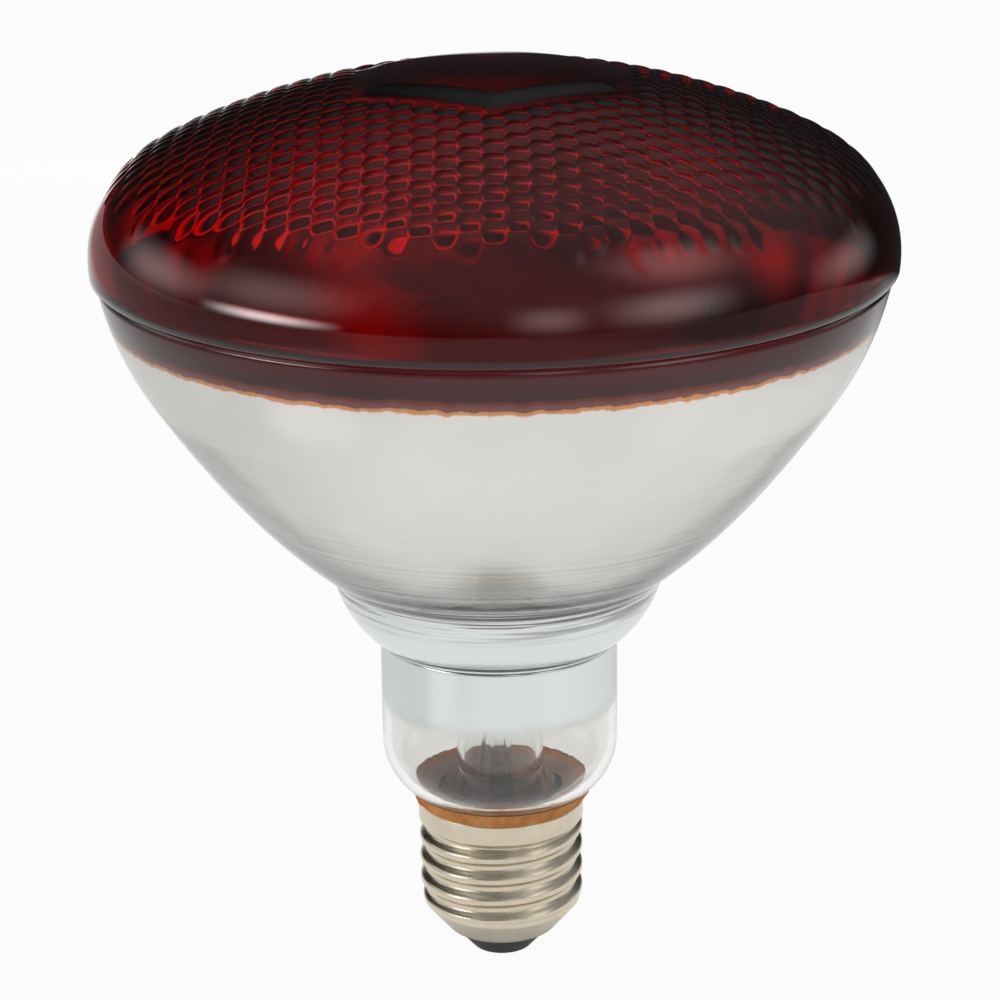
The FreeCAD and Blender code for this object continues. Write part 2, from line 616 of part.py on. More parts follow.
def build():
    coil = filament()
    leads = [lead_wire(side, coil) for side in (1, -1)]
    centre_wire = cap_wire_centre()
    side_wire = cap_wire_side()
    supports = support_wires()
    arbor = arbor_rod(supports)
    rim_solder = side_solder(side_wire)
    nodes = {
        "front_lens": front_lens(),
        "reflector_bowl": reflector_bowl(),
        "stem_flare": stem_flare(leads + [centre_wire, side_wire, arbor]),
        "exhaust_tube": exhaust_tube(),
        "arbor_rod": arbor,
        "filament": coil,
        "cap_wire_centre": centre_wire,
        "cap_wire_side": side_wire,
        "cap_shell": cap_shell(),
        "cap_cement": cap_cement(side_wire, rim_solder),
        "cap_insulator": cap_insulator(),
        "centre_contact": centre_contact(),
        "centre_solder": centre_solder(centre_wire),
        "side_solder": rim_solder,
    }
    for number, lead in enumerate(leads, 1):
        nodes["lead_wire_%d" % number] = lead
    for number, wire in enumerate(supports, 1):
        nodes["support_wire_%d" % number] = wire
    return nodes


os.makedirs("parts", exist_ok=True)
for name, shape in build().items():
    print(name, "solids", len(shape.Solids), "valid", shape.isValid(), "volume", round(shape.Volume, 2))
    shape.exportStep("parts/%s.step" % name)
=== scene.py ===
# %% [markdown]
# # An infrared heat lamp
# The lamp is a red stippled lens, sealed to a bowl of glass that is silvered inside, on a neck of
# clear glass with a screw cap. The construction model gives every size, so this lesson first loads
# it. Lengths below are written in millimetres and turned to metres by MM.

# %% Load the construction model
import bpy
import bmesh
import math
import numpy as np
from mathutils import Euler, Matrix, Vector, noise


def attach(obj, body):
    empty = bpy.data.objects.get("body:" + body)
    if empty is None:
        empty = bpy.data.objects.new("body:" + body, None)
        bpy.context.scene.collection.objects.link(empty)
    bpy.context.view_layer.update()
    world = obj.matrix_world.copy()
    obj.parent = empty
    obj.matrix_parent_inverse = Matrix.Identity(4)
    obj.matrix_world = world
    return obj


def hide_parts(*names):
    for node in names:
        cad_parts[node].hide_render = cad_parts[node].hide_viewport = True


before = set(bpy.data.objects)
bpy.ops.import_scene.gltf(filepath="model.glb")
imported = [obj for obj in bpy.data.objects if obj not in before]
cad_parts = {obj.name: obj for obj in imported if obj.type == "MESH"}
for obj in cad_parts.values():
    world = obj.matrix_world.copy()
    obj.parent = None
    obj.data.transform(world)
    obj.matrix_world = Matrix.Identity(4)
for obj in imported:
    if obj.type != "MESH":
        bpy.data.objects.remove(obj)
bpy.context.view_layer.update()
MM = 0.001

# %% [markdown]
# Colours are written as the hex numbers that a colour picker shows, which are sRGB. Shaders work with
# linear light, so one function turns them. One other function adds a node, sets its options, and
# links or fills its inputs. It serves materials and geometry alike.


# %% Helpers for nodes
def linear(hex_colour):
    """A hex colour as linear red, green, blue and alpha."""
    parts = [int(hex_colour[n:n + 2], 16) / 255 for n in (1, 3, 5)]
    return tuple(p / 12.92 if p <= 0.04045 else ((p + 0.055) / 1.055) ** 2.4 for p in parts) + (1.0,)


def node(tree, kind, inputs=None, **settings):
    """Adds a node. An input is a value, a socket to link, or a node whose first output is linked."""
    made = tree.nodes.new(kind)
    for name, value in settings.items():
        setattr(made, name, value)
    for name, value in (inputs or {}).items():
        source = value.outputs[0] if isinstance(value, bpy.types.Node) else value
        if isinstance(source, bpy.types.NodeSocket):
            tree.links.new(source, made.inputs[name])
        else:
            made.inputs[name].default_value = source
    return made


def new_material(name, inputs):
    """A material with its tree, its shader and its Object coordinates in millimetres."""
    made = bpy.data.materials.new(name)
    made.use_nodes = True
    tree = made.node_tree
    tree.nodes.clear()
    shader = node(tree, "ShaderNodeBsdfPrincipled", inputs)
    node(tree, "ShaderNodeOutputMaterial", {"Surface": shader})
    place = node(tree, "ShaderNodeTexCoord").outputs["Object"]
    return made, tree, shader, node(tree, "ShaderNodeVectorMath", {0: place, 3: 1 / MM}, operation="SCALE")


def lamps_through(tree, shader, share):
    """Lets the light of lamps go straight through a share of a glass, to light what is behind it."""
    shadow = node(tree, "ShaderNodeLightPath").outputs["Is Shadow Ray"]
    part = node(tree, "ShaderNodeMath", {0: shadow, 1: share}, operation="MULTIPLY")
    clear = node(tree, "ShaderNodeBsdfTransparent")
    mixed = node(tree, "ShaderNodeMixShader", {0: part, 1: shader, 2: clear})
    tree.links.new(mixed.outputs[0], tree.get_output_node("ALL").inputs["Surface"])


GLASS = {"IOR": 1.5, "Transmission Weight": 1.0}
METAL = {"Metallic": 1.0}
print("a mid grey is", [round(c, 3) for c in linear("#808080")])

# %% [markdown]
# Three more helpers make meshes. One joins rings of points to a closed skin, with the faces turned
# outwards. One runs a geometry node tree on an object and keeps the result as a plain mesh. The last
# hangs a finished piece on the lamp's root in place of a node of the construction model.


# %% Helpers for meshes
def mesh_object(name, vertices, faces, materials, slots=None):
    """A smooth closed mesh from points in millimetres."""
    mesh = bpy.data.meshes.new(name)
    mesh.from_pydata((np.array(vertices) * MM).tolist(), [], faces)
    for material in materials:
        mesh.materials.append(material)
    if slots:
        mesh.polygons.foreach_set("material_index", slots)
    work = bmesh.new()
    work.from_mesh(mesh)
    bmesh.ops.recalc_face_normals(work, faces=work.faces)
    work.to_mesh(mesh)
    work.free()
    mesh.polygons.foreach_set("use_smooth", [True] * len(mesh.polygons))
    made = bpy.data.objects.new(name, mesh)
    bpy.context.scene.collection.objects.link(made)
    return made


def ring_skin(rows, count):
    """Points and faces of a closed skin. Each row is radii, one or one for each turn, and a height."""
    turns = np.arange(count) * (2 * math.pi / count)
    vertices, faces = [], []
    for radii, z in rows:
        radii = np.broadcast_to(radii, count)
        heights = np.broadcast_to(z, count)
        vertices += list(zip(radii * np.cos(turns), radii * np.sin(turns), heights))
    for row in range(len(rows)):
        here, there = row * count, (row + 1) % len(rows) * count
        for n in range(count):
            m = (n + 1) % count
            faces.append((here + n, here + m, there + m, there + n))
    return vertices, faces


def grow(made, tree, values):
    """Runs a node tree on an object, with its inputs by name."""
    modifier = made.modifiers.new("grow", "NODES")
    modifier.node_group = tree
    for item in tree.interface.items_tree:
        if item.in_out == "INPUT" and item.name in values:
            modifier[item.identifier] = values[item.name]
    ready = made.evaluated_get(bpy.context.evaluated_depsgraph_get())
    mesh = bpy.data.meshes.new_from_object(ready)
    made.modifiers.remove(modifier)
    made.data = mesh
    mesh.polygons.foreach_set("use_smooth", [True] * len(mesh.polygons))


def hang(made, replaced):
    """Makes a piece part of the lamp, in place of a node of the construction model."""
    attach(made, "root")
    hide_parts(replaced)
    print(made.name, "stands for", replaced, "with", len(made.data.polygons), "faces")


print("helpers ready")

# %% [markdown]
# The lens is clear pressed glass under a deep red stain. Light crosses the stain on its way in and
# again on its way out, so the red is nearly black where little light comes back and glows only where
# the mirror behind sends much of it. A glass shader with a dark red tint gives that. Slow noise stands
# for the uneven stain, and finer noise for the haze of old wiping that softens the reflections. In two
# places at the front the stain has dark hairline cracks.

# %% Red stained glass
CRACKED = ((-8.0, -58.4, 122.0), (28.6, -52.7, 118.5))
CRACK_REACH = 3.6
CRACK_CORE = 2.0
CRACK_CELL = 5.0


def stained_glass():
    """Pressed glass under a red stain: dark, deep red where light comes back, with a hazy gloss."""
    made, tree, shader, place = new_material("ruby_stained_glass", GLASS)
    cloud = node(tree, "ShaderNodeTexNoise", {"Vector": place, "Scale": 1 / 16.0, "Detail": 1.0})
    tint = node(tree, "ShaderNodeMix", {0: cloud, 6: linear("#a20b13"), 7: linear("#bc0e18")},
                data_type="RGBA")
    edges = node(tree, "ShaderNodeTexVoronoi", {"Vector": place, "Scale": 1 / CRACK_CELL},
                 feature="DISTANCE_TO_EDGE")
    hairs = node(tree, "ShaderNodeMapRange", {0: edges, 1: 0.03, 2: 0.01})
    near = [node(tree, "ShaderNodeVectorMath", {0: place, 1: spot}, operation="DISTANCE").outputs["Value"]
            for spot in CRACKED]
    nearest = node(tree, "ShaderNodeMath", {0: near[0], 1: near[1]}, operation="MINIMUM")
    here = node(tree, "ShaderNodeMapRange", {0: nearest, 1: CRACK_REACH, 2: CRACK_CORE})
    cracks = node(tree, "ShaderNodeMath", {0: hairs, 1: here}, operation="MULTIPLY")
    worn = node(tree, "ShaderNodeMix", {0: cracks, 6: tint.outputs[2], 7: linear("#1a0406")},
                data_type="RGBA")
    wipe = node(tree, "ShaderNodeTexNoise", {"Vector": place, "Scale": 1 / 3.0, "Detail": 2.0})
    haze = node(tree, "ShaderNodeMapRange", {0: wipe, 3: 0.02, 4: 0.07})
    tree.links.new(worn.outputs[2], shader.inputs["Base Color"])
    tree.links.new(haze.outputs[0], shader.inputs["Roughness"])
    return made


red_glass = stained_glass()
print("finish:", red_glass.name)

# %% [markdown]
# The lens body is a dome that runs into a round side. A grid of rings with six more points on each
# ring keeps the triangles the same size from the middle to the edge, which small bumps need. The
# outer rings carry on down the side, across the seam and back over the smooth inside.

# %% The plain lens
SEAM_Z = 114.3
LENS_MAX_R = 60.6
LENS_SIDE_Z = SEAM_Z + 2.3
LENS_SIDE_ROUND = 17.0
LENS_DOME_R = 116.0
LENS_WALL = 3.2
LENS_EDGE_STEP = 0.4
LENS_RINGS = 128
FINE_LEAN = math.radians(60)
INSIDE_LEAN = math.radians(50)
SIDE_R = LENS_MAX_R - LENS_SIDE_ROUND
DOME_Z = LENS_SIDE_Z - math.sqrt((LENS_DOME_R - LENS_SIDE_ROUND) ** 2 - SIDE_R ** 2)


def lens_point(inset, lean):
    """A point of the lens's outside, or of a face further in, where its normal leans this far from up."""
    turn = math.asin(SIDE_R / (LENS_DOME_R - LENS_SIDE_ROUND))
    if lean <= turn:
        size, centre = LENS_DOME_R - inset, (0, DOME_Z)
    else:
        size, centre = LENS_SIDE_ROUND - inset, (SIDE_R, LENS_SIDE_Z)
    return centre[0] + size * math.sin(lean), centre[1] + size * math.cos(lean)


def even_steps(inset, last_lean, count):
    """Points along the lens's section from the middle out, evenly apart."""
    leans = np.linspace(0, last_lean, 2000)
    points = np.array([lens_point(inset, lean) for lean in leans])
    run = np.concatenate([[0], np.cumsum(np.hypot(*np.diff(points, axis=0).T))])
    return [lens_point(inset, lean) for lean in np.interp(np.linspace(0, run[-1], count + 1), run, leans)]


def ring_disc(points, vertices, faces):
    """Rings of 6, 12, 18 and more points round a middle one. Returns where the last ring starts."""
    starts = [len(vertices)]
    vertices.append((0, 0, points[0][1]))
    for number, (radius, z) in enumerate(points[1:], 1):
        starts.append(len(vertices))
        turns = np.arange(6 * number) * (2 * math.pi / (6 * number))
        vertices += [(radius * math.cos(t), radius * math.sin(t), z) for t in turns]
    for inner in range(len(points) - 1):
        outer = inner + 1
        for side in range(6):
            for step in range(outer):
                a = starts[outer] + (side * outer + step) % (6 * outer)
                b = starts[outer] + (side * outer + step + 1) % (6 * outer)
                c = starts[inner] + (side * inner + step) % max(6 * inner, 1)
                faces.append((a, b, c))
                if step < inner:
                    d = starts[inner] + (side * inner + step + 1) % (6 * inner)
                    faces.append((c, b, d))
    return starts[-1]


def plain_lens():
    vertices, faces = [], []
    wide = 6 * LENS_RINGS
    lean_foot = math.pi / 2 + math.asin((LENS_SIDE_Z - SEAM_Z - LENS_EDGE_STEP) / LENS_SIDE_ROUND)
    lean_in = math.pi / 2 + math.asin((LENS_SIDE_Z - SEAM_Z) / (LENS_SIDE_ROUND - LENS_WALL))
    last = ring_disc(even_steps(0, FINE_LEAN, LENS_RINGS), vertices, faces)
    inside = ring_disc(even_steps(LENS_WALL, INSIDE_LEAN, LENS_RINGS // 2), vertices, faces)
    foot = lens_point(0, lean_foot)
    rows = [lens_point(0, lean) for lean in np.linspace(FINE_LEAN, lean_foot, 13)[1:]]
    rows += [(foot[0] - LENS_EDGE_STEP, SEAM_Z)]
    rows += [lens_point(LENS_WALL, lean) for lean in np.linspace(lean_in, INSIDE_LEAN, 10)[:-1]]
    turns = np.arange(wide) * (2 * math.pi / wide)
    for radius, z in rows:
        start = len(vertices)
        vertices += [(radius * math.cos(t), radius * math.sin(t), z) for t in turns]
        for n in range(wide):
            m = (n + 1) % wide
            faces.append((last + n, start + n, start + m, last + m))
        last = start
    half = wide // 2
    for n in range(half):
        m = (n + 1) % half
        a, b, c = last + 2 * n, last + 2 * n + 1, last + (2 * n + 2) % wide
        faces += [(a, b, inside + n), (b, inside + m, inside + n), (b, c, inside + m)]
    return mesh_object("lens_red_stippled", vertices, faces, [red_glass])


lens = plain_lens()
print("plain lens:", len(lens.data.polygons), "faces")

# %% [markdown]
# The bumps that spread the beam sit on a six-sided grid, round a plain raised middle of six sides.
# They could be copies of one bump, but copies would cut into each other and into the lens. Instead a
# node tree makes the grid's points, measures how far each place of the lens is from the nearest one,
# and lifts the surface by a round cap over that distance. The distance from the middle is six-sided
# too: the larger of the distance across and the one along the slanted sides.

# %% Bumps by geometry nodes
STIPPLE_PITCH = 3.75
STIPPLE_HEIGHT = 0.38
STIPPLE_FADE = 48.0
STIPPLE_REACH = 56.3
GRID_COUNT = 41
PLAIN_STEPS = 6
PLAIN_EDGE = 4.6
PLAIN_RISE = 0.6
EDGE_BUMP = 0.35
SLANT = math.sqrt(3) / 2


def six_sided(tree, position):
    """The plan parts of a position and its six-sided distance from the middle."""
    split = node(tree, "ShaderNodeSeparateXYZ", {0: position}).outputs
    across = node(tree, "ShaderNodeMath", {0: split[0]}, operation="ABSOLUTE")
    along = node(tree, "ShaderNodeMath", {0: split[1]}, operation="ABSOLUTE")
    half = node(tree, "ShaderNodeMath", {0: across, 1: 0.5}, operation="MULTIPLY")
    slanted = node(tree, "ShaderNodeMath", {0: along, 1: SLANT, 2: half}, operation="MULTIPLY_ADD")
    return split, node(tree, "ShaderNodeMath", {0: across, 1: slanted}, operation="MAXIMUM")


def grid_points(tree, given):
    """The middles of the bumps: a square grid with every other column moved by half a pitch."""
    column = node(tree, "ShaderNodeMath", {0: given["Pitch"], 1: SLANT}, operation="MULTIPLY")
    wide = node(tree, "ShaderNodeMath", {0: column, 1: GRID_COUNT - 1}, operation="MULTIPLY")
    long = node(tree, "ShaderNodeMath", {0: given["Pitch"], 1: GRID_COUNT - 1}, operation="MULTIPLY")
    grid = node(tree, "GeometryNodeMeshGrid", {"Size X": wide, "Size Y": long, "Vertices X": GRID_COUNT,
                                               "Vertices Y": GRID_COUNT})
    across = node(tree, "ShaderNodeSeparateXYZ", {0: node(tree, "GeometryNodeInputPosition")})
    number = node(tree, "ShaderNodeMath", {0: across, 1: column}, operation="DIVIDE")
    whole = node(tree, "ShaderNodeMath", {0: number}, operation="ROUND")
    odd = node(tree, "ShaderNodeMath", {0: whole, 1: 2.0}, operation="FLOORED_MODULO")
    half = node(tree, "ShaderNodeMath", {0: given["Pitch"], 1: 0.5}, operation="MULTIPLY")
    shift = node(tree, "ShaderNodeMath", {0: odd, 1: half}, operation="MULTIPLY")
    offset = node(tree, "ShaderNodeCombineXYZ", {1: shift})
    moved = node(tree, "GeometryNodeSetPosition", {"Geometry": grid, "Offset": offset})
    return column, moved


def stipple_tree():
    tree = bpy.data.node_groups.new("lens_stipple", "GeometryNodeTree")
    tree.interface.new_socket("Geometry", in_out="OUTPUT", socket_type="NodeSocketGeometry")
    tree.interface.new_socket("Geometry", in_out="INPUT", socket_type="NodeSocketGeometry")
    for name in ("Pitch", "Height", "Fade", "Reach", "Plain Edge", "Plain Rise"):
        tree.interface.new_socket(name, in_out="INPUT", socket_type="NodeSocketFloat")
    tree.interface.new_socket("Plain Steps", in_out="INPUT", socket_type="NodeSocketInt")
    tree.interface.new_socket("Glass", in_out="INPUT", socket_type="NodeSocketMaterial")
    given = node(tree, "NodeGroupInput").outputs
    column, points = grid_points(tree, given)
    foot = node(tree, "ShaderNodeMath", {0: given["Plain Steps"], 1: column}, operation="MULTIPLY")
    first = node(tree, "ShaderNodeMath", {0: column, 1: 0.5, 2: foot}, operation="MULTIPLY_ADD")

    spot = node(tree, "GeometryNodeInputPosition")
    _, spot_out = six_sided(tree, spot)
    far = node(tree, "ShaderNodeVectorMath", {0: spot}, operation="LENGTH").outputs["Value"]
    too_far = node(tree, "ShaderNodeMath", {0: far, 1: given["Reach"]}, operation="GREATER_THAN")
    too_near = node(tree, "ShaderNodeMath", {0: spot_out, 1: first}, operation="LESS_THAN")
    left_out = node(tree, "ShaderNodeMath", {0: too_far, 1: too_near}, operation="MAXIMUM")
    middles = node(tree, "GeometryNodeDeleteGeometry", {"Geometry": points, "Selection": left_out},
                   domain="POINT")

    split, here_out = six_sided(tree, node(tree, "GeometryNodeInputPosition"))
    flat = node(tree, "ShaderNodeCombineXYZ", {0: split[0], 1: split[1]})
    near = node(tree, "GeometryNodeProximity", {"Geometry": middles, "Sample Position": flat},
                target_element="POINTS").outputs["Distance"]
    reach = node(tree, "ShaderNodeMath", {0: given["Pitch"], 1: math.sqrt(3)}, operation="DIVIDE")
    share = node(tree, "ShaderNodeMath", {0: near, 1: reach}, operation="DIVIDE")
    square = node(tree, "ShaderNodeMath", {0: share, 1: 2.0}, operation="POWER")
    fall = node(tree, "ShaderNodeMath", {0: 1.0, 1: square}, operation="SUBTRACT", use_clamp=True)
    out = node(tree, "ShaderNodeVectorMath", {0: flat}, operation="LENGTH").outputs["Value"]
    low = node(tree, "ShaderNodeMapRange", {
        0: out, 1: given["Fade"], 2: given["Reach"], 3: 1.0, 4: EDGE_BUMP})
    high = node(tree, "ShaderNodeMath", {0: low, 1: given["Height"]}, operation="MULTIPLY")
    bump = node(tree, "ShaderNodeMath", {0: fall, 1: high}, operation="MULTIPLY")
    top = node(tree, "ShaderNodeMath", {0: foot, 1: given["Plain Edge"]}, operation="SUBTRACT")
    plain = node(tree, "ShaderNodeMapRange", {0: here_out, 1: foot, 2: top},
                 interpolation_type="SMOOTHSTEP")
    rise = node(tree, "ShaderNodeMath", {0: plain, 1: given["Plain Rise"], 2: bump},
                operation="MULTIPLY_ADD")

    normal = node(tree, "GeometryNodeInputNormal")
    upright = node(tree, "ShaderNodeSeparateXYZ", {0: normal}).outputs[2]
    upward = node(tree, "ShaderNodeMath", {0: upright, 1: 0.05}, operation="GREATER_THAN")
    offset = node(tree, "ShaderNodeVectorMath", {0: normal, 3: rise}, operation="SCALE")
    lifted = node(tree, "GeometryNodeSetPosition", {
        "Geometry": given["Geometry"], "Selection": upward, "Offset": offset})
    real = node(tree, "GeometryNodeRealizeInstances", {"Geometry": lifted})
    done = node(tree, "GeometryNodeSetMaterial", {"Geometry": real, "Material": given["Glass"]})
    node(tree, "NodeGroupOutput", {0: done})
    return tree


grow(lens, stipple_tree(), {
    "Pitch": STIPPLE_PITCH * MM, "Height": STIPPLE_HEIGHT * MM, "Fade": STIPPLE_FADE * MM,
    "Reach": STIPPLE_REACH * MM, "Plain Edge": PLAIN_EDGE * MM, "Plain Rise": PLAIN_RISE * MM,
    "Plain Steps": PLAIN_STEPS, "Glass": red_glass})
hang(lens, "front_lens")
print("lens top at", round(max(v.co.z for v in lens.data.vertices) / MM, 2), "mm")

# %% [markdown]
# The bowl is one wall of glass: a seal collar, a round neck end, the neck, a bulging shoulder, a
# paraboloid and a rim that turns upright. The section below follows it up the outside and down the
# inside. The outside keeps the look of glass and the inside gets the mirror, so a mirrored edge is
# seen twice, once in the film and once in the glass over it, as in a real lamp.

# %% The bowl
NECK_R = 18.6
NECK_WALL = 1.3
NECK_TOP_Z = 54.5
NECK_ROUND = 10.5
NECK_ROUND_R = 8.1
NECK_ROUND_Z = 37.7
SEAL_R = 10.0
SEAL_LOW_Z = 20.7
SEAL_STRAIGHT = 3.0
CREASE_Z = 65.8
SHOULDER_BULGE = 1.25
CORNER_STEP = 0.4
VERTEX_Z = 56.1
CURVE_TOP_Z = 96.2
RIM_R = 59.7
CURVE_TOP_R = 0.881 * RIM_R
RIM_WALL = 2.4
BACK_WALL = 3.1
BOWL_STEPS = 192
FOUR_FOCAL = CURVE_TOP_R ** 2 / (CURVE_TOP_Z - VERTEX_Z)


def bulged(low, high, count):
    """An arc from one point of a section to the next, bulging outwards by the shoulder's bulge."""
    low, high = np.array(low), np.array(high)
    chord = high - low
    size = np.hypot(*chord)
    out = np.array([chord[1], -chord[0]]) / size
    arc_r = size ** 2 / (8 * SHOULDER_BULGE) + SHOULDER_BULGE / 2
    middle = (low + high) / 2 - out * (arc_r - SHOULDER_BULGE)
    half = math.asin(size / (2 * arc_r))
    leans = np.linspace(-half, half, count)
    return [tuple(middle + arc_r * (out * math.cos(t) + chord / size * math.sin(t))) for t in leans]


def rim_arc(low, slope, high, count):
    """An arc that leaves a point with this slope of radius over height and ends in another point."""
    lean = math.atan(slope)
    chord = (high[0] - low[0], high[1] - low[1])
    turn = 2 * (lean - math.atan2(chord[0], chord[1]))
    size = math.hypot(*chord) / (2 * math.sin(turn / 2))
    centre = (low[0] - size * math.cos(lean), low[1] + size * math.sin(lean))
    leans = np.linspace(lean, lean - turn, count)
    return [(centre[0] + size * math.cos(t), centre[1] - size * math.sin(t)) for t in leans]


def wall_side(inset, neck_top, crease, vertex, rim_r):
    """One side of the bowl's wall, from the seal collar up to the rim."""
    size, seal = NECK_ROUND - inset, SEAL_R - inset
    lean = math.asin((seal - NECK_ROUND_R) / size)
    points = [(seal, SEAL_LOW_Z), (seal, SEAL_LOW_Z + SEAL_STRAIGHT)]
    points += [(NECK_ROUND_R + size * math.sin(t), NECK_ROUND_Z - size * math.cos(t))
               for t in np.linspace(lean, math.pi / 2, 20)]
    points += [(NECK_R - inset, z) for z in np.linspace(NECK_ROUND_Z, neck_top, 10)[1:-1]]
    points += [(NECK_R - inset, neck_top - CORNER_STEP)]
    crease_r = math.sqrt(FOUR_FOCAL * (crease - vertex))
    points += bulged((NECK_R - inset, neck_top), (crease_r, crease), 16)
    curve = np.concatenate([[crease + CORNER_STEP], np.linspace(crease, CURVE_TOP_Z, 26)[1:]])
    points += [(math.sqrt(FOUR_FOCAL * (z - vertex)), z) for z in curve]
    return points + rim_arc(points[-1], FOUR_FOCAL / (2 * points[-1][0]), (rim_r, SEAM_Z), 14)[1:]


def bowl_object(glass, film):
    outside = wall_side(0, NECK_TOP_Z, CREASE_Z, VERTEX_Z, RIM_R)
    inside = wall_side(NECK_WALL, NECK_TOP_Z + NECK_WALL, CREASE_Z + NECK_WALL, VERTEX_Z + BACK_WALL,
                       RIM_R - RIM_WALL)
    vertices, faces = ring_skin(outside + inside[::-1], BOWL_STEPS)
    mirrored = range(len(outside), len(outside) + len(inside) - 1)
    slots = [int(n // BOWL_STEPS in mirrored) for n in range(len(faces))]
    return mesh_object("bowl_silvered_inside", vertices, faces, [glass, film], slots)


print("curve ends at radius", round(CURVE_TOP_R, 2), "mm")

# %% [markdown]
# The outside of the bowl is clear glass. The red stain of the lens runs a little way over the rim and
# ends in a ragged edge, thin enough to look orange, and just above that edge it is darker, a painted
# shade. The film inside is aluminium, a pale mirror with faint rings from the wiping of the glass, a
# little cooler below the crease, with painted shade along it: dark streaks and a thin dark line above
# it. It thins out down the neck, where the glass is clear, lets the light of the lamps in and shows the
# stem. Height, made ragged by noise, gives each of these a mask.

# %% Glass and mirror of the bowl
FILM_END_Z = 45.0
FILM_FADE = 3.6
LIT_FADE = 2.0
STAIN_END_Z = 108.6
STAIN_LINE = 0.6
STAIN_SOFT = 0.25
LINE_SOFT = 0.3
STAIN_SHADE_TO = 1.0
STAIN_UNSHADED_FROM = 3.2
RAGGED = 1.4
CREASE_LINE_Z = CREASE_Z + 5.2
CREASE_LINE_HALF = 0.8
CREASE_LINE_CORE = 0.2
STREAKS_REACH = 5.0
STREAKS_FULL = 1.0
COOL_FROM = 10.0
COOL_FULL = -6.0


def ragged_height(tree, place):
    """Height in millimetres that wanders a little, for edges that were wiped by hand."""
    height = node(tree, "ShaderNodeSeparateXYZ", {0: place}).outputs[2]
    ragged = node(tree, "ShaderNodeTexNoise", {"Vector": place, "Scale": 1 / 2.5, "Detail": 2.0})
    return height, node(tree, "ShaderNodeMath", {0: ragged, 1: RAGGED, 2: height}, operation="MULTIPLY_ADD")


def rim_stained_glass():
    """Blown clear glass, bright and faintly wavy, with the end of the red stain round the rim."""
    made, tree, shader, place = new_material("clear_glass_stained_at_the_rim", GLASS)
    height, wander = ragged_height(tree, place)
    stain = node(tree, "ShaderNodeMapRange", {0: wander, 1: STAIN_END_Z, 2: STAIN_END_Z + STAIN_SOFT})
    line = node(tree, "ShaderNodeMapRange", {
        0: wander, 1: STAIN_END_Z - STAIN_LINE, 2: STAIN_END_Z - STAIN_LINE + LINE_SOFT})
    # Painted shade: the red band is darker for a few millimetres above its ragged edge.
    band_unshaded = node(tree, "ShaderNodeMapRange", {
        0: height, 1: STAIN_END_Z + STAIN_SHADE_TO, 2: STAIN_END_Z + STAIN_UNSHADED_FROM})
    red = node(tree, "ShaderNodeMix", {0: band_unshaded, 6: linear("#3c1214"), 7: linear("#571016")},
               data_type="RGBA")
    edged = node(tree, "ShaderNodeMix", {0: line, 6: linear("#fbfbfa"), 7: linear("#d9621c")},
                 data_type="RGBA")
    colour = node(tree, "ShaderNodeMix", {0: stain, 6: edged.outputs[2], 7: red.outputs[2]},
                  data_type="RGBA")
    wave = node(tree, "ShaderNodeTexNoise", {"Vector": place, "Scale": 1 / 9.0, "Detail": 0.0})
    bump = node(tree, "ShaderNodeBump", {"Height": wave, "Strength": 0.1, "Distance": 0.0004})
    tree.links.new(colour.outputs[2], shader.inputs["Base Color"])
    tree.links.new(bump.outputs[0], shader.inputs["Normal"])
    shader.inputs["Roughness"].default_value = 0.02
    below = node(tree, "ShaderNodeMapRange", {
        0: height, 1: FILM_END_Z + LIT_FADE, 2: FILM_END_Z - LIT_FADE})
    lamps_through(tree, shader, below)
    return made


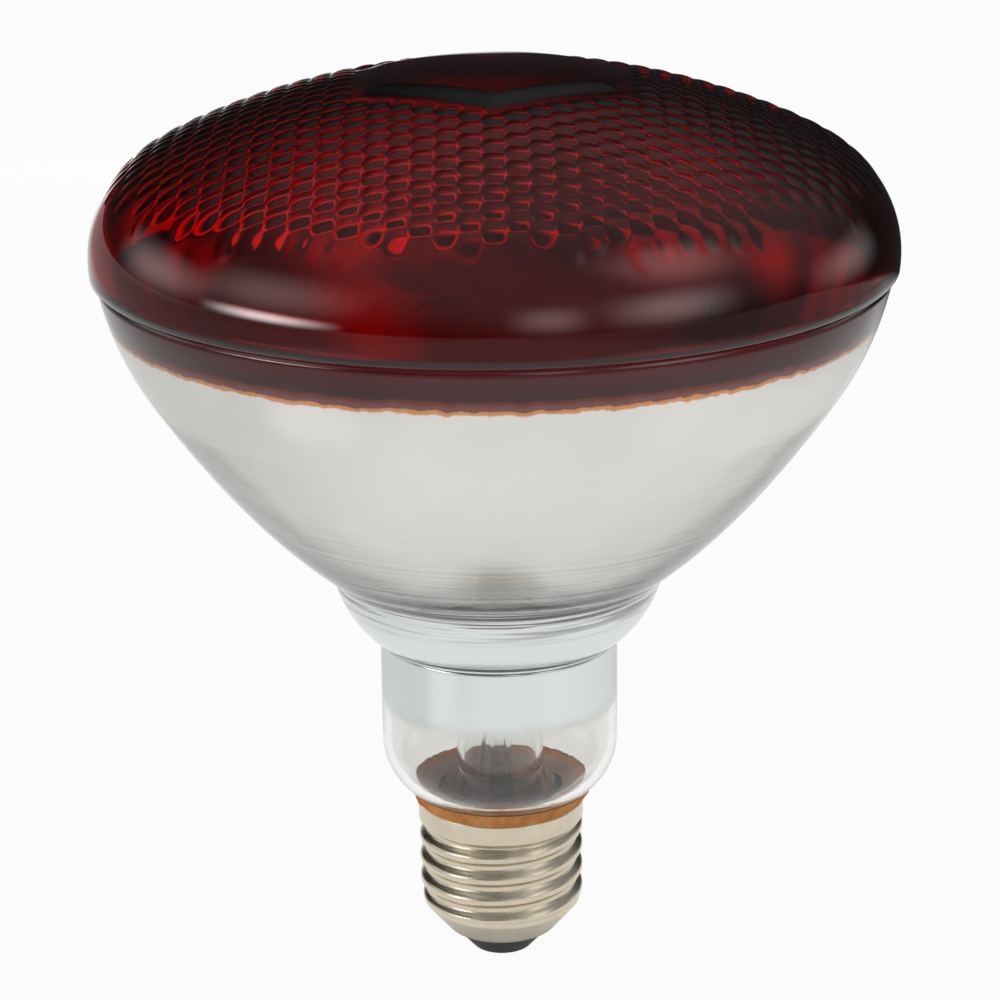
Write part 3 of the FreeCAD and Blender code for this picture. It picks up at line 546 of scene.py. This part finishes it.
def aluminium_film():
    """Aluminium, deposited as a vapour: a pale satin mirror that thins out to bare glass in the neck."""
    made, tree, shader, place = new_material("aluminium_film", {"IOR": 1.5})
    height, wander = ragged_height(tree, place)
    film = node(tree, "ShaderNodeMapRange", {
        0: wander, 1: FILM_END_Z - FILM_FADE / 2, 2: FILM_END_Z + FILM_FADE / 2},
        interpolation_type="SMOOTHSTEP")
    bare = node(tree, "ShaderNodeMath", {0: 1.0, 1: film}, operation="SUBTRACT")
    cloud = node(tree, "ShaderNodeTexNoise", {"Vector": place, "Scale": 1 / 22.0, "Detail": 1.0})
    thick = node(tree, "ShaderNodeMix", {0: cloud, 6: linear("#dad8d2"), 7: linear("#e6e5e1")},
                 data_type="RGBA")
    low = node(tree, "ShaderNodeMapRange", {0: height, 1: CREASE_Z + COOL_FROM, 2: CREASE_Z + COOL_FULL})
    silver = node(tree, "ShaderNodeMix", {0: low, 6: thick.outputs[2], 7: linear("#e0e6e5")},
                  data_type="RGBA")
    # Painted shade at the crease: dark streaks along it and a thin dark line above it, mixed into the
    # film's colour.
    drawn = node(tree, "ShaderNodeVectorMath", {0: place, 1: (0.05, 0.05, 1.6)}, operation="MULTIPLY")
    streaks = node(tree, "ShaderNodeTexNoise", {"Vector": drawn, "Scale": 1.0, "Detail": 3.0})
    marked = node(tree, "ShaderNodeMapRange", {0: streaks, 1: 0.48, 2: 0.6, 4: 0.85})
    above = node(tree, "ShaderNodeMapRange", {
        0: height, 1: CREASE_Z - STREAKS_REACH, 2: CREASE_Z - STREAKS_FULL})
    crease = node(tree, "ShaderNodeMapRange", {
        0: height, 1: CREASE_Z + STREAKS_REACH, 2: CREASE_Z + STREAKS_FULL})
    around = node(tree, "ShaderNodeMath", {0: above, 1: crease}, operation="MULTIPLY")
    streak_shade = node(tree, "ShaderNodeMath", {0: marked, 1: around}, operation="MULTIPLY")
    apart = node(tree, "ShaderNodeMath", {0: wander, 1: CREASE_LINE_Z}, operation="SUBTRACT")
    off = node(tree, "ShaderNodeMath", {0: apart}, operation="ABSOLUTE")
    thin = node(tree, "ShaderNodeMapRange", {0: off, 1: CREASE_LINE_HALF, 2: CREASE_LINE_CORE, 4: 0.85})
    crease_shade = node(tree, "ShaderNodeMath", {0: streak_shade, 1: thin}, operation="MAXIMUM")
    crease_shaded_silver = node(tree, "ShaderNodeMix", {0: crease_shade, 6: silver.outputs[2], 7: linear("#463f42")},
                data_type="RGBA")
    colour = node(tree, "ShaderNodeMix", {0: film, 6: linear("#e9e8e4"), 7: crease_shaded_silver.outputs[2]},
                  data_type="RGBA")
    rings = node(tree, "ShaderNodeTexNoise", {"W": height, "Scale": 1 / 0.8, "Detail": 2.0},
                 noise_dimensions="1D")
    satin = node(tree, "ShaderNodeMapRange", {0: rings, 3: 0.07, 4: 0.14})
    smooth = node(tree, "ShaderNodeMath", {0: satin, 1: film}, operation="MULTIPLY")
    bump = node(tree, "ShaderNodeBump", {"Height": rings, "Strength": 0.03, "Distance": 0.0002})
    for name, value in (("Base Color", colour.outputs[2]), ("Metallic", film.outputs[0]),
                        ("Roughness", smooth.outputs[0]), ("Transmission Weight", bare.outputs[0]),
                        ("Normal", bump.outputs[0])):
        tree.links.new(value, shader.inputs[name])
    lamps_through(tree, shader, bare)
    return made


bowl = bowl_object(rim_stained_glass(), aluminium_film())
hang(bowl, "reflector_bowl")

# %% [markdown]
# The cap is thin brass sheet, nickel plated, with its thread rolled in, so crests and roots are round.
# The surface is a grid over turn and height, and its radius follows a wave that climbs one pitch in a
# turn. At the top the wave dies out in the plain barrel, and at the foot in the collar, from which a
# cone runs in to the black glass. Inside, the sheet is lacquered a dull tan.

# %% Rolled screw cap
CAP_RIM_Z = 26.8
BARREL_R = 13.15
CREST_R = 13.05
ROOT_R = 12.0
THREAD_PITCH = 3.629
THREAD_LEFT_CREST_Z = 9.3
THREAD_TOP_Z = 23.4
RUN_OUT_LOW = (1.6, 0.2)
RUN_OUT_HIGH = (-0.8, 0.5)
COLLAR_R = 12.6
COLLAR_Z = 9.2
CONE_EDGE_R = 9.0
CONE_EDGE_Z = 4.8
SHELL_WALL = 0.3
CAP_STEPS = 192


def smooth_step(low, high, value):
    share = np.clip((value - low) / (high - low), 0, 1)
    return share * share * (3 - 2 * share)


def cap_radius(turn, z):
    """Outside radius of the shell at a turn in radians and a height above the collar."""
    climb = (z - THREAD_LEFT_CREST_Z + THREAD_PITCH / 2) / THREAD_PITCH - turn / (2 * math.pi)
    wave = np.sin(math.pi / 2 * np.cos(2 * math.pi * climb))
    thread = (CREST_R + ROOT_R) / 2 + wave * (CREST_R - ROOT_R) / 2
    thread += (COLLAR_R - thread) * smooth_step(COLLAR_Z + RUN_OUT_LOW[0], COLLAR_Z + RUN_OUT_LOW[1], z)
    barrel = smooth_step(THREAD_TOP_Z + RUN_OUT_HIGH[0], THREAD_TOP_Z + RUN_OUT_HIGH[1], z)
    return thread + (BARREL_R - thread) * barrel


def screw_cap(plated, bare):
    turns = np.arange(CAP_STEPS) * (2 * math.pi / CAP_STEPS)
    slope = (COLLAR_R - CONE_EDGE_R) / (COLLAR_Z - CONE_EDGE_Z)
    sides = []
    for inset in (0.0, SHELL_WALL):
        edge_z = CONE_EDGE_Z + inset * math.hypot(1, slope) / slope
        corner_z = edge_z + (COLLAR_R - inset - CONE_EDGE_R) / slope
        rows = [(CONE_EDGE_R + (z - edge_z) * slope, z) for z in np.linspace(edge_z, corner_z, 10)]
        rows += [(cap_radius(turns, z) - inset, z) for z in np.linspace(corner_z, CAP_RIM_Z, 100)[1:]]
        sides.append(rows)
    outside, inside = sides
    vertices, faces = ring_skin(outside + inside[::-1], CAP_STEPS)
    slots = [int(n // CAP_STEPS >= len(outside)) for n in range(len(faces))]
    return mesh_object("cap_rolled_thread", vertices, faces, [plated, bare], slots)


def nickel_plate():
    """Plating on sheet metal: a warm grey, with rolling lines round it and duller patches."""
    made, tree, shader, place = new_material("nickel_plated_brass", METAL)
    patch = node(tree, "ShaderNodeTexNoise", {"Vector": place, "Scale": 1 / 3.0, "Detail": 5.0})
    colour = node(tree, "ShaderNodeMix", {0: patch, 6: linear("#c4b8a2"), 7: linear("#e2d8c4")},
                  data_type="RGBA")
    height = node(tree, "ShaderNodeSeparateXYZ", {0: place}).outputs[2]
    lines = node(tree, "ShaderNodeTexNoise", {"W": height, "Scale": 1 / 0.3, "Detail": 3.0},
                 noise_dimensions="1D")
    bump = node(tree, "ShaderNodeBump", {"Height": lines, "Strength": 0.1, "Distance": 0.0001})
    rough = node(tree, "ShaderNodeMapRange", {0: patch, 3: 0.2, 4: 0.36})
    tree.links.new(colour.outputs[2], shader.inputs["Base Color"])
    tree.links.new(rough.outputs[0], shader.inputs["Roughness"])
    tree.links.new(bump.outputs[0], shader.inputs["Normal"])
    return made


def pale_lacquer():
    """The dull tan inside of the cap, which is all that shows through the clear end of the neck."""
    made, tree, shader, place = new_material("tan_lacquer", {"Roughness": 0.5})
    stain = node(tree, "ShaderNodeTexNoise", {"Vector": place, "Scale": 1 / 3.0, "Detail": 4.0})
    colour = node(tree, "ShaderNodeMix", {0: stain, 6: linear("#b49a84"), 7: linear("#e6d6c4")},
                  data_type="RGBA")
    tree.links.new(colour.outputs[2], shader.inputs["Base Color"])
    return made


def speckled_metal(name, dark, light, roughness, grain):
    """Wire, solder, brass: one colour that varies a little over its grain, in millimetres."""
    made, tree, shader, place = new_material(name, METAL)
    spots = node(tree, "ShaderNodeTexNoise", {"Vector": place, "Scale": 1 / grain, "Detail": 3.0})
    colour = node(tree, "ShaderNodeMix", {0: spots, 6: linear(dark), 7: linear(light)}, data_type="RGBA")
    tree.links.new(colour.outputs[2], shader.inputs["Base Color"])
    shader.inputs["Roughness"].default_value = roughness
    return made


cap = screw_cap(nickel_plate(), pale_lacquer())
hang(cap, "cap_shell")

# %% [markdown]
# The cement was squeezed out between glass and shell and baked, so its bead is lumpy. Its section goes
# round the seal collar, up under the neck, down over the belly of the bead and into the shell. Noise
# moves only the free belly, so the faces that touch glass and metal stay where they are.

# %% Cement bead
CEMENT_LOW_Z = CAP_RIM_Z - 2.8
CEMENT_DRIP_Z = CEMENT_LOW_Z - 2.0
CEMENT_TOP_Z = CAP_RIM_Z + 2.6
CEMENT_BELLY = 0.4
CEMENT_LUMP = 0.35
LUMP_WAVES = ((0.55, 1.0), (1.4, 0.6))
CEMENT_GAP = 0.04
CEMENT_STEPS = 240
CEMENT_PALE_R = 12.6
CEMENT_ORANGE_R = 13.4


def cement_bead(material):
    bead_lean = math.acos((NECK_ROUND_Z - CEMENT_TOP_Z) / NECK_ROUND)
    seal_lean = math.asin((SEAL_R - NECK_ROUND_R) / NECK_ROUND)
    rows = [(SEAL_R + CEMENT_GAP, CEMENT_DRIP_Z), (SEAL_R + CEMENT_GAP, CEMENT_LOW_Z)]
    under = NECK_ROUND + CEMENT_GAP
    rows += [(NECK_ROUND_R + under * math.sin(t), NECK_ROUND_Z - under * math.cos(t))
             for t in np.linspace(seal_lean, bead_lean, 10)]
    top = rows[-1]
    turns = np.arange(CEMENT_STEPS) * (2 * math.pi / CEMENT_STEPS)
    for share in np.linspace(0, 1, 18)[1:-1]:
        free = math.sin(math.pi * share)
        radius = top[0] + (BARREL_R - top[0]) * share
        z = top[1] + (CAP_RIM_Z - top[1]) * share - CEMENT_BELLY * free
        spots = [Vector((radius * math.cos(t), radius * math.sin(t), z)) for t in turns]
        lumps = [sum(high * noise.noise(spot * fine) for fine, high in LUMP_WAVES) for spot in spots]
        rows.append((radius + CEMENT_LUMP * free * np.array(lumps), z))
    inside = BARREL_R - SHELL_WALL
    rows += [(BARREL_R, CAP_RIM_Z), (inside, CAP_RIM_Z), (inside, CEMENT_LOW_Z)]
    vertices, faces = ring_skin(rows, CEMENT_STEPS)
    return mesh_object("cement_bead", vertices, faces, [material])


def baked_cement():
    """Basing cement: orange tan, grainy, brown where it was scorched, and paler inside."""
    made, tree, shader, place = new_material("baked_cement", {"Roughness": 0.75})
    grit = node(tree, "ShaderNodeTexNoise", {"Vector": place, "Scale": 1 / 0.6, "Detail": 6.0})
    scorch = node(tree, "ShaderNodeTexNoise", {"Vector": place, "Scale": 1 / 3.0, "Detail": 4.0})
    burnt = node(tree, "ShaderNodeMapRange", {0: scorch, 1: 0.3, 2: 0.7})
    outer = node(tree, "ShaderNodeMix", {0: burnt, 6: linear("#cc7230"), 7: linear("#f2ac5e")},
                 data_type="RGBA")
    flat = node(tree, "ShaderNodeVectorMath", {0: place, 1: (1, 1, 0)}, operation="MULTIPLY")
    radius = node(tree, "ShaderNodeVectorMath", {0: flat}, operation="LENGTH").outputs["Value"]
    inner = node(tree, "ShaderNodeMapRange", {0: radius, 1: CEMENT_ORANGE_R, 2: CEMENT_PALE_R})
    colour = node(tree, "ShaderNodeMix", {0: inner, 6: outer.outputs[2], 7: linear("#cba98f")},
                  data_type="RGBA")
    bump = node(tree, "ShaderNodeBump", {"Height": grit, "Strength": 0.5, "Distance": 0.0003})
    tree.links.new(colour.outputs[2], shader.inputs["Base Color"])
    tree.links.new(bump.outputs[0], shader.inputs["Normal"])
    return made


hang(cement_bead(baked_cement()), "cap_cement")

# %% [markdown]
# The filament is fine tungsten wire wound to a coil, and the coil is bent to an open ring at the focus
# of the bowl. A node tree starts from a straight spiral, bends it round the ring by its height, and
# gives it the wire's round section.

# %% Filament by geometry nodes
FILAMENT_Z = 76.446
FILAMENT_RING_R = 8.0
COIL_R = 0.5
COIL_WIRE_R = 0.11
COIL_TURNS = 90
FILAMENT_GAP = 70.0
FILAMENT_TURN = 125.0


def coil_tree():
    tree = bpy.data.node_groups.new("coiled_filament", "GeometryNodeTree")
    tree.interface.new_socket("Geometry", in_out="OUTPUT", socket_type="NodeSocketGeometry")
    for name in ("Ring", "Coil", "Wire", "Start", "Sweep", "Height"):
        tree.interface.new_socket(name, in_out="INPUT", socket_type="NodeSocketFloat")
    tree.interface.new_socket("Turns", in_out="INPUT", socket_type="NodeSocketInt")
    tree.interface.new_socket("Metal", in_out="INPUT", socket_type="NodeSocketMaterial")
    given = node(tree, "NodeGroupInput").outputs
    winding = node(tree, "ShaderNodeMath", {0: given["Coil"], 1: given["Wire"]}, operation="SUBTRACT")
    spiral = node(tree, "GeometryNodeCurveSpiral", {
        "Resolution": 12, "Rotations": given["Turns"], "Start Radius": winding, "End Radius": winding,
        "Height": 1.0})
    split = node(tree, "ShaderNodeSeparateXYZ", {0: node(tree, "GeometryNodeInputPosition")}).outputs
    angle = node(tree, "ShaderNodeMath", {0: split[2], 1: given["Sweep"], 2: given["Start"]},
                 operation="MULTIPLY_ADD")
    out = node(tree, "ShaderNodeMath", {0: given["Ring"], 1: split[0]}, operation="ADD")
    cosine = node(tree, "ShaderNodeMath", {0: angle}, operation="COSINE")
    sine = node(tree, "ShaderNodeMath", {0: angle}, operation="SINE")
    bent = node(tree, "ShaderNodeCombineXYZ", {
        0: node(tree, "ShaderNodeMath", {0: out, 1: cosine}, operation="MULTIPLY"),
        1: node(tree, "ShaderNodeMath", {0: out, 1: sine}, operation="MULTIPLY"),
        2: node(tree, "ShaderNodeMath", {0: split[1], 1: given["Height"]}, operation="ADD")})
    ring = node(tree, "GeometryNodeSetPosition", {"Geometry": spiral, "Position": bent})
    section = node(tree, "GeometryNodeCurvePrimitiveCircle", {"Resolution": 6, "Radius": given["Wire"]})
    wire = node(tree, "GeometryNodeCurveToMesh", {"Curve": ring, "Profile Curve": section,
                                                  "Fill Caps": True})
    real = node(tree, "GeometryNodeRealizeInstances", {"Geometry": wire})
    done = node(tree, "GeometryNodeSetMaterial", {"Geometry": real, "Material": given["Metal"]})
    node(tree, "NodeGroupOutput", {0: done})
    return tree


coil = bpy.data.objects.new("filament_coil", bpy.data.meshes.new("filament_coil"))
bpy.context.scene.collection.objects.link(coil)
grow(coil, coil_tree(), {
    "Ring": FILAMENT_RING_R * MM, "Coil": COIL_R * MM, "Wire": COIL_WIRE_R * MM,
    "Start": math.radians(FILAMENT_GAP + FILAMENT_TURN), "Sweep": math.radians(360 - FILAMENT_GAP),
    "Height": FILAMENT_Z * MM, "Turns": COIL_TURNS,
    "Metal": speckled_metal("drawn_tungsten", "#4a4a4d", "#66666a", 0.4, 0.4)})
hang(coil, "filament")

# %% [markdown]
# The other pieces have the right shape in the construction model, so they stay and get finishes: clear
# glass for the stem, drawn wire for the leads, black glass under the shell, brass and solder at the
# contact.


# %% Finishes for the pieces that stay
STEM_CLEAR_Z = 34.0
STEM_BROWN_Z = 28.0


def stem_glass():
    """Lead glass of the stem, with the faint waves of hand sealing and browned by heat at its foot."""
    made, tree, shader, place = new_material("clear_stem_glass", GLASS)
    wave = node(tree, "ShaderNodeTexNoise", {"Vector": place, "Scale": 1 / 4.0, "Detail": 2.0})
    bump = node(tree, "ShaderNodeBump", {"Height": wave, "Strength": 0.05, "Distance": 0.0005})
    height = node(tree, "ShaderNodeSeparateXYZ", {0: place}).outputs[2]
    sealed = node(tree, "ShaderNodeMapRange", {0: height, 1: STEM_CLEAR_Z, 2: STEM_BROWN_Z})
    colour = node(tree, "ShaderNodeMix", {0: sealed, 6: linear("#f8faf8"), 7: linear("#d9b79c")},
                  data_type="RGBA")
    tree.links.new(colour.outputs[2], shader.inputs["Base Color"])
    tree.links.new(bump.outputs[0], shader.inputs["Normal"])
    shader.inputs["Roughness"].default_value = 0.02
    lamps_through(tree, shader, 1.0)
    return made


def black_glass():
    """Moulded black glass, dull from handling, with a slightly rippled skin."""
    made, tree, shader, place = new_material("black_moulded_glass", {"Specular IOR Level": 0.3})
    ripple = node(tree, "ShaderNodeTexNoise", {"Vector": place, "Scale": 1 / 1.5, "Detail": 3.0})
    colour = node(tree, "ShaderNodeMix", {0: ripple, 6: linear("#120d0d"), 7: linear("#2a2122")},
                  data_type="RGBA")
    bump = node(tree, "ShaderNodeBump", {"Height": ripple, "Strength": 0.25, "Distance": 0.0003})
    tree.links.new(colour.outputs[2], shader.inputs["Base Color"])
    tree.links.new(bump.outputs[0], shader.inputs["Normal"])
    shader.inputs["Roughness"].default_value = 0.45
    return made


clear = stem_glass()
nickel_wire = speckled_metal("nickel_wire", "#8b8780", "#b0aca4", 0.3, 1.0)
copper_wire = speckled_metal("oxidised_copper_wire", "#4d3a31", "#6e5546", 0.45, 1.5)
molybdenum = speckled_metal("molybdenum_wire", "#77777b", "#939398", 0.35, 0.8)
solder = speckled_metal("tin_lead_solder", "#8d8e90", "#b4b5b7", 0.38, 1.2)
finishes = {"stem_flare": clear, "exhaust_tube": clear, "arbor_rod": clear,
            "cap_wire_centre": copper_wire, "cap_wire_side": copper_wire, "cap_insulator": black_glass(),
            "centre_contact": speckled_metal("contact_brass", "#a8874c", "#c6a765", 0.35, 1.0),
            "centre_solder": solder, "side_solder": solder, "lead_wire_1": nickel_wire,
            "lead_wire_2": nickel_wire, "support_wire_1": molybdenum, "support_wire_2": molybdenum,
            "support_wire_3": molybdenum}
for name, material in finishes.items():
    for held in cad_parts[name].material_slots:
        held.material = material
print("finishes set on", len(finishes), "pieces")

# %% [markdown]
# The lamp stands on a plain white floor. The floor gives off its own white to the camera, to mirrors and
# through glass, mixed with its lit surface, so that it stays white and still keeps the soft shadow. In
# mirrors and glass it has painted shade: it is dimmer behind, in front, on the left, far out to the sides
# and in the far right corner, with a painted shadow right under the cap. Two painted pools of light stay
# white and give the neck its highlights. The room is light above and dark around, so the dark glass
# shows its shape.


# %% Floor and surroundings
FLOOR_GLOW = 0.95
POOL_X = 0.117
POOL_Y = -0.082
POOL_CORE = 0.02
POOL_REACH = 0.06


def white_floor():
    """White paper: plain to the camera, with the soft shadow of the lamp."""
    made = bpy.data.materials.new("white_paper")
    made.use_nodes = True
    tree = made.node_tree
    tree.nodes.clear()
    path = node(tree, "ShaderNodeLightPath").outputs
    mirrored = node(tree, "ShaderNodeMath", {0: path["Is Glossy Ray"], 1: path["Is Transmission Ray"]},
                    operation="MAXIMUM")
    seen = node(tree, "ShaderNodeMath", {0: path["Is Camera Ray"], 1: mirrored}, operation="MAXIMUM")
    share = node(tree, "ShaderNodeMath", {0: seen, 1: FLOOR_GLOW}, operation="MULTIPLY")
    paper = node(tree, "ShaderNodeBsdfDiffuse", {"Color": linear("#f4f4f4")})
    place = node(tree, "ShaderNodeTexCoord").outputs["Object"]
    split = node(tree, "ShaderNodeSeparateXYZ", {0: place}).outputs
    aside = node(tree, "ShaderNodeMath", {0: split[0]}, operation="ABSOLUTE")
    around = node(tree, "ShaderNodeVectorMath", {0: place}, operation="LENGTH").outputs["Value"]
    # Painted shade for mirrors and glass: dimmer places on the floor, with a painted shadow right under the
    # cap.
    plain = 0.0
    for way, start, end, least, most in (
            (split[1], 0.0, 0.18, 0.03, 0.14), (split[1], -0.18, -0.35, 0.0, 0.6),
            (split[0], -0.04, -0.12, 0.0, 0.18), (aside, 0.16, 0.4, 0.0, 0.7),
            (around, 0.018, 0.008, 0.0, 0.5)):
        part = node(tree, "ShaderNodeMapRange", {0: way, 1: start, 2: end, 3: least, 4: most})
        plain = node(tree, "ShaderNodeMath", {0: plain, 1: part}, operation="MAXIMUM")
    # Painted pools of light: two white places that the neck shows as highlights.
    pools = []
    for side in (-1, 1):
        apart = node(tree, "ShaderNodeVectorMath", {0: place, 1: (side * POOL_X, POOL_Y, 0)},
                     operation="DISTANCE").outputs["Value"]
        pools.append(node(tree, "ShaderNodeMapRange", {0: apart, 1: POOL_CORE, 2: POOL_REACH},
                          interpolation_type="SMOOTHSTEP"))
    kept = node(tree, "ShaderNodeMath", {0: pools[0], 1: pools[1]}, operation="MINIMUM")
    toned = node(tree, "ShaderNodeMath", {0: plain, 1: kept}, operation="MULTIPLY")
    far = node(tree, "ShaderNodeMapRange", {0: split[1], 1: 0.22, 2: 0.4})
    right = node(tree, "ShaderNodeMapRange", {0: split[0], 1: -0.05, 2: 0.1})
    corner = node(tree, "ShaderNodeMath", {0: far, 1: right}, operation="MULTIPLY")
    dim = node(tree, "ShaderNodeMath", {0: toned, 1: corner}, operation="MAXIMUM")
    away = node(tree, "ShaderNodeMath", {0: dim, 1: mirrored}, operation="MULTIPLY")
    tone = node(tree, "ShaderNodeMix", {0: away, 6: linear("#ffffff"), 7: linear("#1a1a1c")},
                data_type="RGBA")
    white = node(tree, "ShaderNodeEmission", {"Color": tone.outputs[2], "Strength": 1.0})
    mixed = node(tree, "ShaderNodeMixShader", {0: share, 1: paper, 2: white})
    node(tree, "ShaderNodeOutputMaterial", {"Surface": mixed})
    return made


FLOOR_HALF = 8.0
floor_mesh = bpy.data.meshes.new("floor")
corners = [(-FLOOR_HALF, -FLOOR_HALF, 0), (FLOOR_HALF, -FLOOR_HALF, 0), (FLOOR_HALF, FLOOR_HALF, 0),
           (-FLOOR_HALF, FLOOR_HALF, 0)]
floor_mesh.from_pydata(corners, [], [(0, 1, 2, 3)])
floor_mesh.materials.append(white_floor())
floor = bpy.data.objects.new("floor", floor_mesh)
bpy.context.scene.collection.objects.link(floor)

LIGHT_SIDE = Vector((0.3, -0.3, 0.9)).normalized()
world = bpy.data.worlds.new("soft_room")
bpy.context.scene.world = world
world.use_nodes = True
room = world.node_tree
room.nodes.clear()
direction = node(room, "ShaderNodeTexCoord").outputs["Generated"]
toward = node(room, "ShaderNodeVectorMath", {0: direction, 1: LIGHT_SIDE}, operation="DOT_PRODUCT")
lit = node(room, "ShaderNodeMapRange", {0: toward.outputs["Value"], 1: 0.1, 2: 0.8},
           interpolation_type="SMOOTHSTEP")
grey = node(room, "ShaderNodeMix", {0: lit, 6: linear("#28282a"), 7: linear("#9c9ea0")}, data_type="RGBA")
camera_ray = node(room, "ShaderNodeLightPath").outputs["Is Camera Ray"]
shown = node(room, "ShaderNodeMix", {0: camera_ray, 6: grey.outputs[2], 7: linear("#ffffff")},
             data_type="RGBA")
node(room, "ShaderNodeOutputWorld", {"Surface": node(room, "ShaderNodeBackground", {
    "Color": shown.outputs[2], "Strength": 1.0})})
print("floor and room made")

# %% [markdown]
# Soft lights stand round the lamp, and each fades out towards its edges, so that its reflection in the
# glass has no hard border. The left one has a bright strip along its lower edge, which draws the long
# highlight on the side of the lens. The high one on the right goes into the lens, and the mirror sends
# it out again on the left as deep red. The low one at the back is seen through the top of the lens and
# makes the edges of the bumps glow.

# %% Lights
FADE = 0.5
AIM = Vector((0, 0, 0.1))


def soft_box(name, place, size, radiance):
    """A light aimed at the lamp, with its strength as the brightness of its middle."""
    data = bpy.data.lights.new(name, "AREA")
    data.shape = "RECTANGLE"
    data.size, data.size_y = size
    data.energy = radiance * math.pi * size[0] * size[1]
    data.use_nodes = True
    tree = data.node_tree
    tree.nodes.clear()
    spot = node(tree, "ShaderNodeNewGeometry").outputs["Parametric"]
    split = node(tree, "ShaderNodeSeparateXYZ", {0: spot}).outputs
    across = node(tree, "ShaderNodeMath", {0: split[0], 1: 0.5}, operation="PINGPONG")
    upward = node(tree, "ShaderNodeMath", {0: split[1], 1: 0.5}, operation="PINGPONG")
    wide = node(tree, "ShaderNodeMapRange", {0: across, 2: FADE}, interpolation_type="SMOOTHSTEP")
    high = node(tree, "ShaderNodeMapRange", {0: upward, 2: FADE}, interpolation_type="SMOOTHSTEP")
    strength = node(tree, "ShaderNodeMath", {0: wide, 1: high}, operation="MULTIPLY")
    glow = node(tree, "ShaderNodeEmission", {"Strength": strength})
    node(tree, "ShaderNodeOutputLight", {"Surface": glow})
    made = bpy.data.objects.new(name, data)
    made.location = place
    made.rotation_euler = (AIM - Vector(place)).to_track_quat("-Z", "Y").to_euler()
    bpy.context.scene.collection.objects.link(made)


soft_box("left_box", (-0.8, -0.4, 0.45), (1.1, 0.7), 1.5)
soft_box("left_strip", (-0.8, -0.42, 0.16), (0.8, 0.16), 14.0)
soft_box("left_side_box", (-0.87, 0.2, 0.28), (0.9, 0.5), 1.5)
soft_box("front_box", (0.2, -0.78, 0.3), (0.4, 0.45), 1.6)
soft_box("right_box", (0.67, -0.6, 0.34), (0.8, 0.6), 2.2)
soft_box("right_high_box", (0.56, -0.3, 0.75), (0.7, 0.7), 1.2)
soft_box("far_right_box", (0.8, 0.3, 0.2), (0.7, 0.4), 1.0)
soft_box("back_box", (-0.12, 0.65, 0.05), (0.45, 0.12), 2.2)

# %% [markdown]
# The camera was fitted to the circles and thread lines of the photo.

# %% Camera
CAMERA_PLACE = (0.0, -421.43, 217.58)
CAMERA_DOWN = 18.528
CAMERA_ROLL = -0.678
camera_data = bpy.data.cameras.new("camera")
camera_data.sensor_width = 36.0
camera_data.lens = 103.444
camera_data.shift_x = 0.0027
camera = bpy.data.objects.new("camera", camera_data)
turned = Euler((math.radians(90 - CAMERA_DOWN), 0, 0)).to_matrix().to_4x4()
rolled = turned @ Matrix.Rotation(math.radians(CAMERA_ROLL), 4, "Z")
camera.matrix_world = Matrix.Translation(Vector(CAMERA_PLACE) * MM) @ rolled
bpy.context.scene.collection.objects.link(camera)
bpy.context.scene.camera = camera
bpy.context.scene.view_settings.view_transform = "Standard"
print("camera at", [round(c, 3) for c in camera.location])
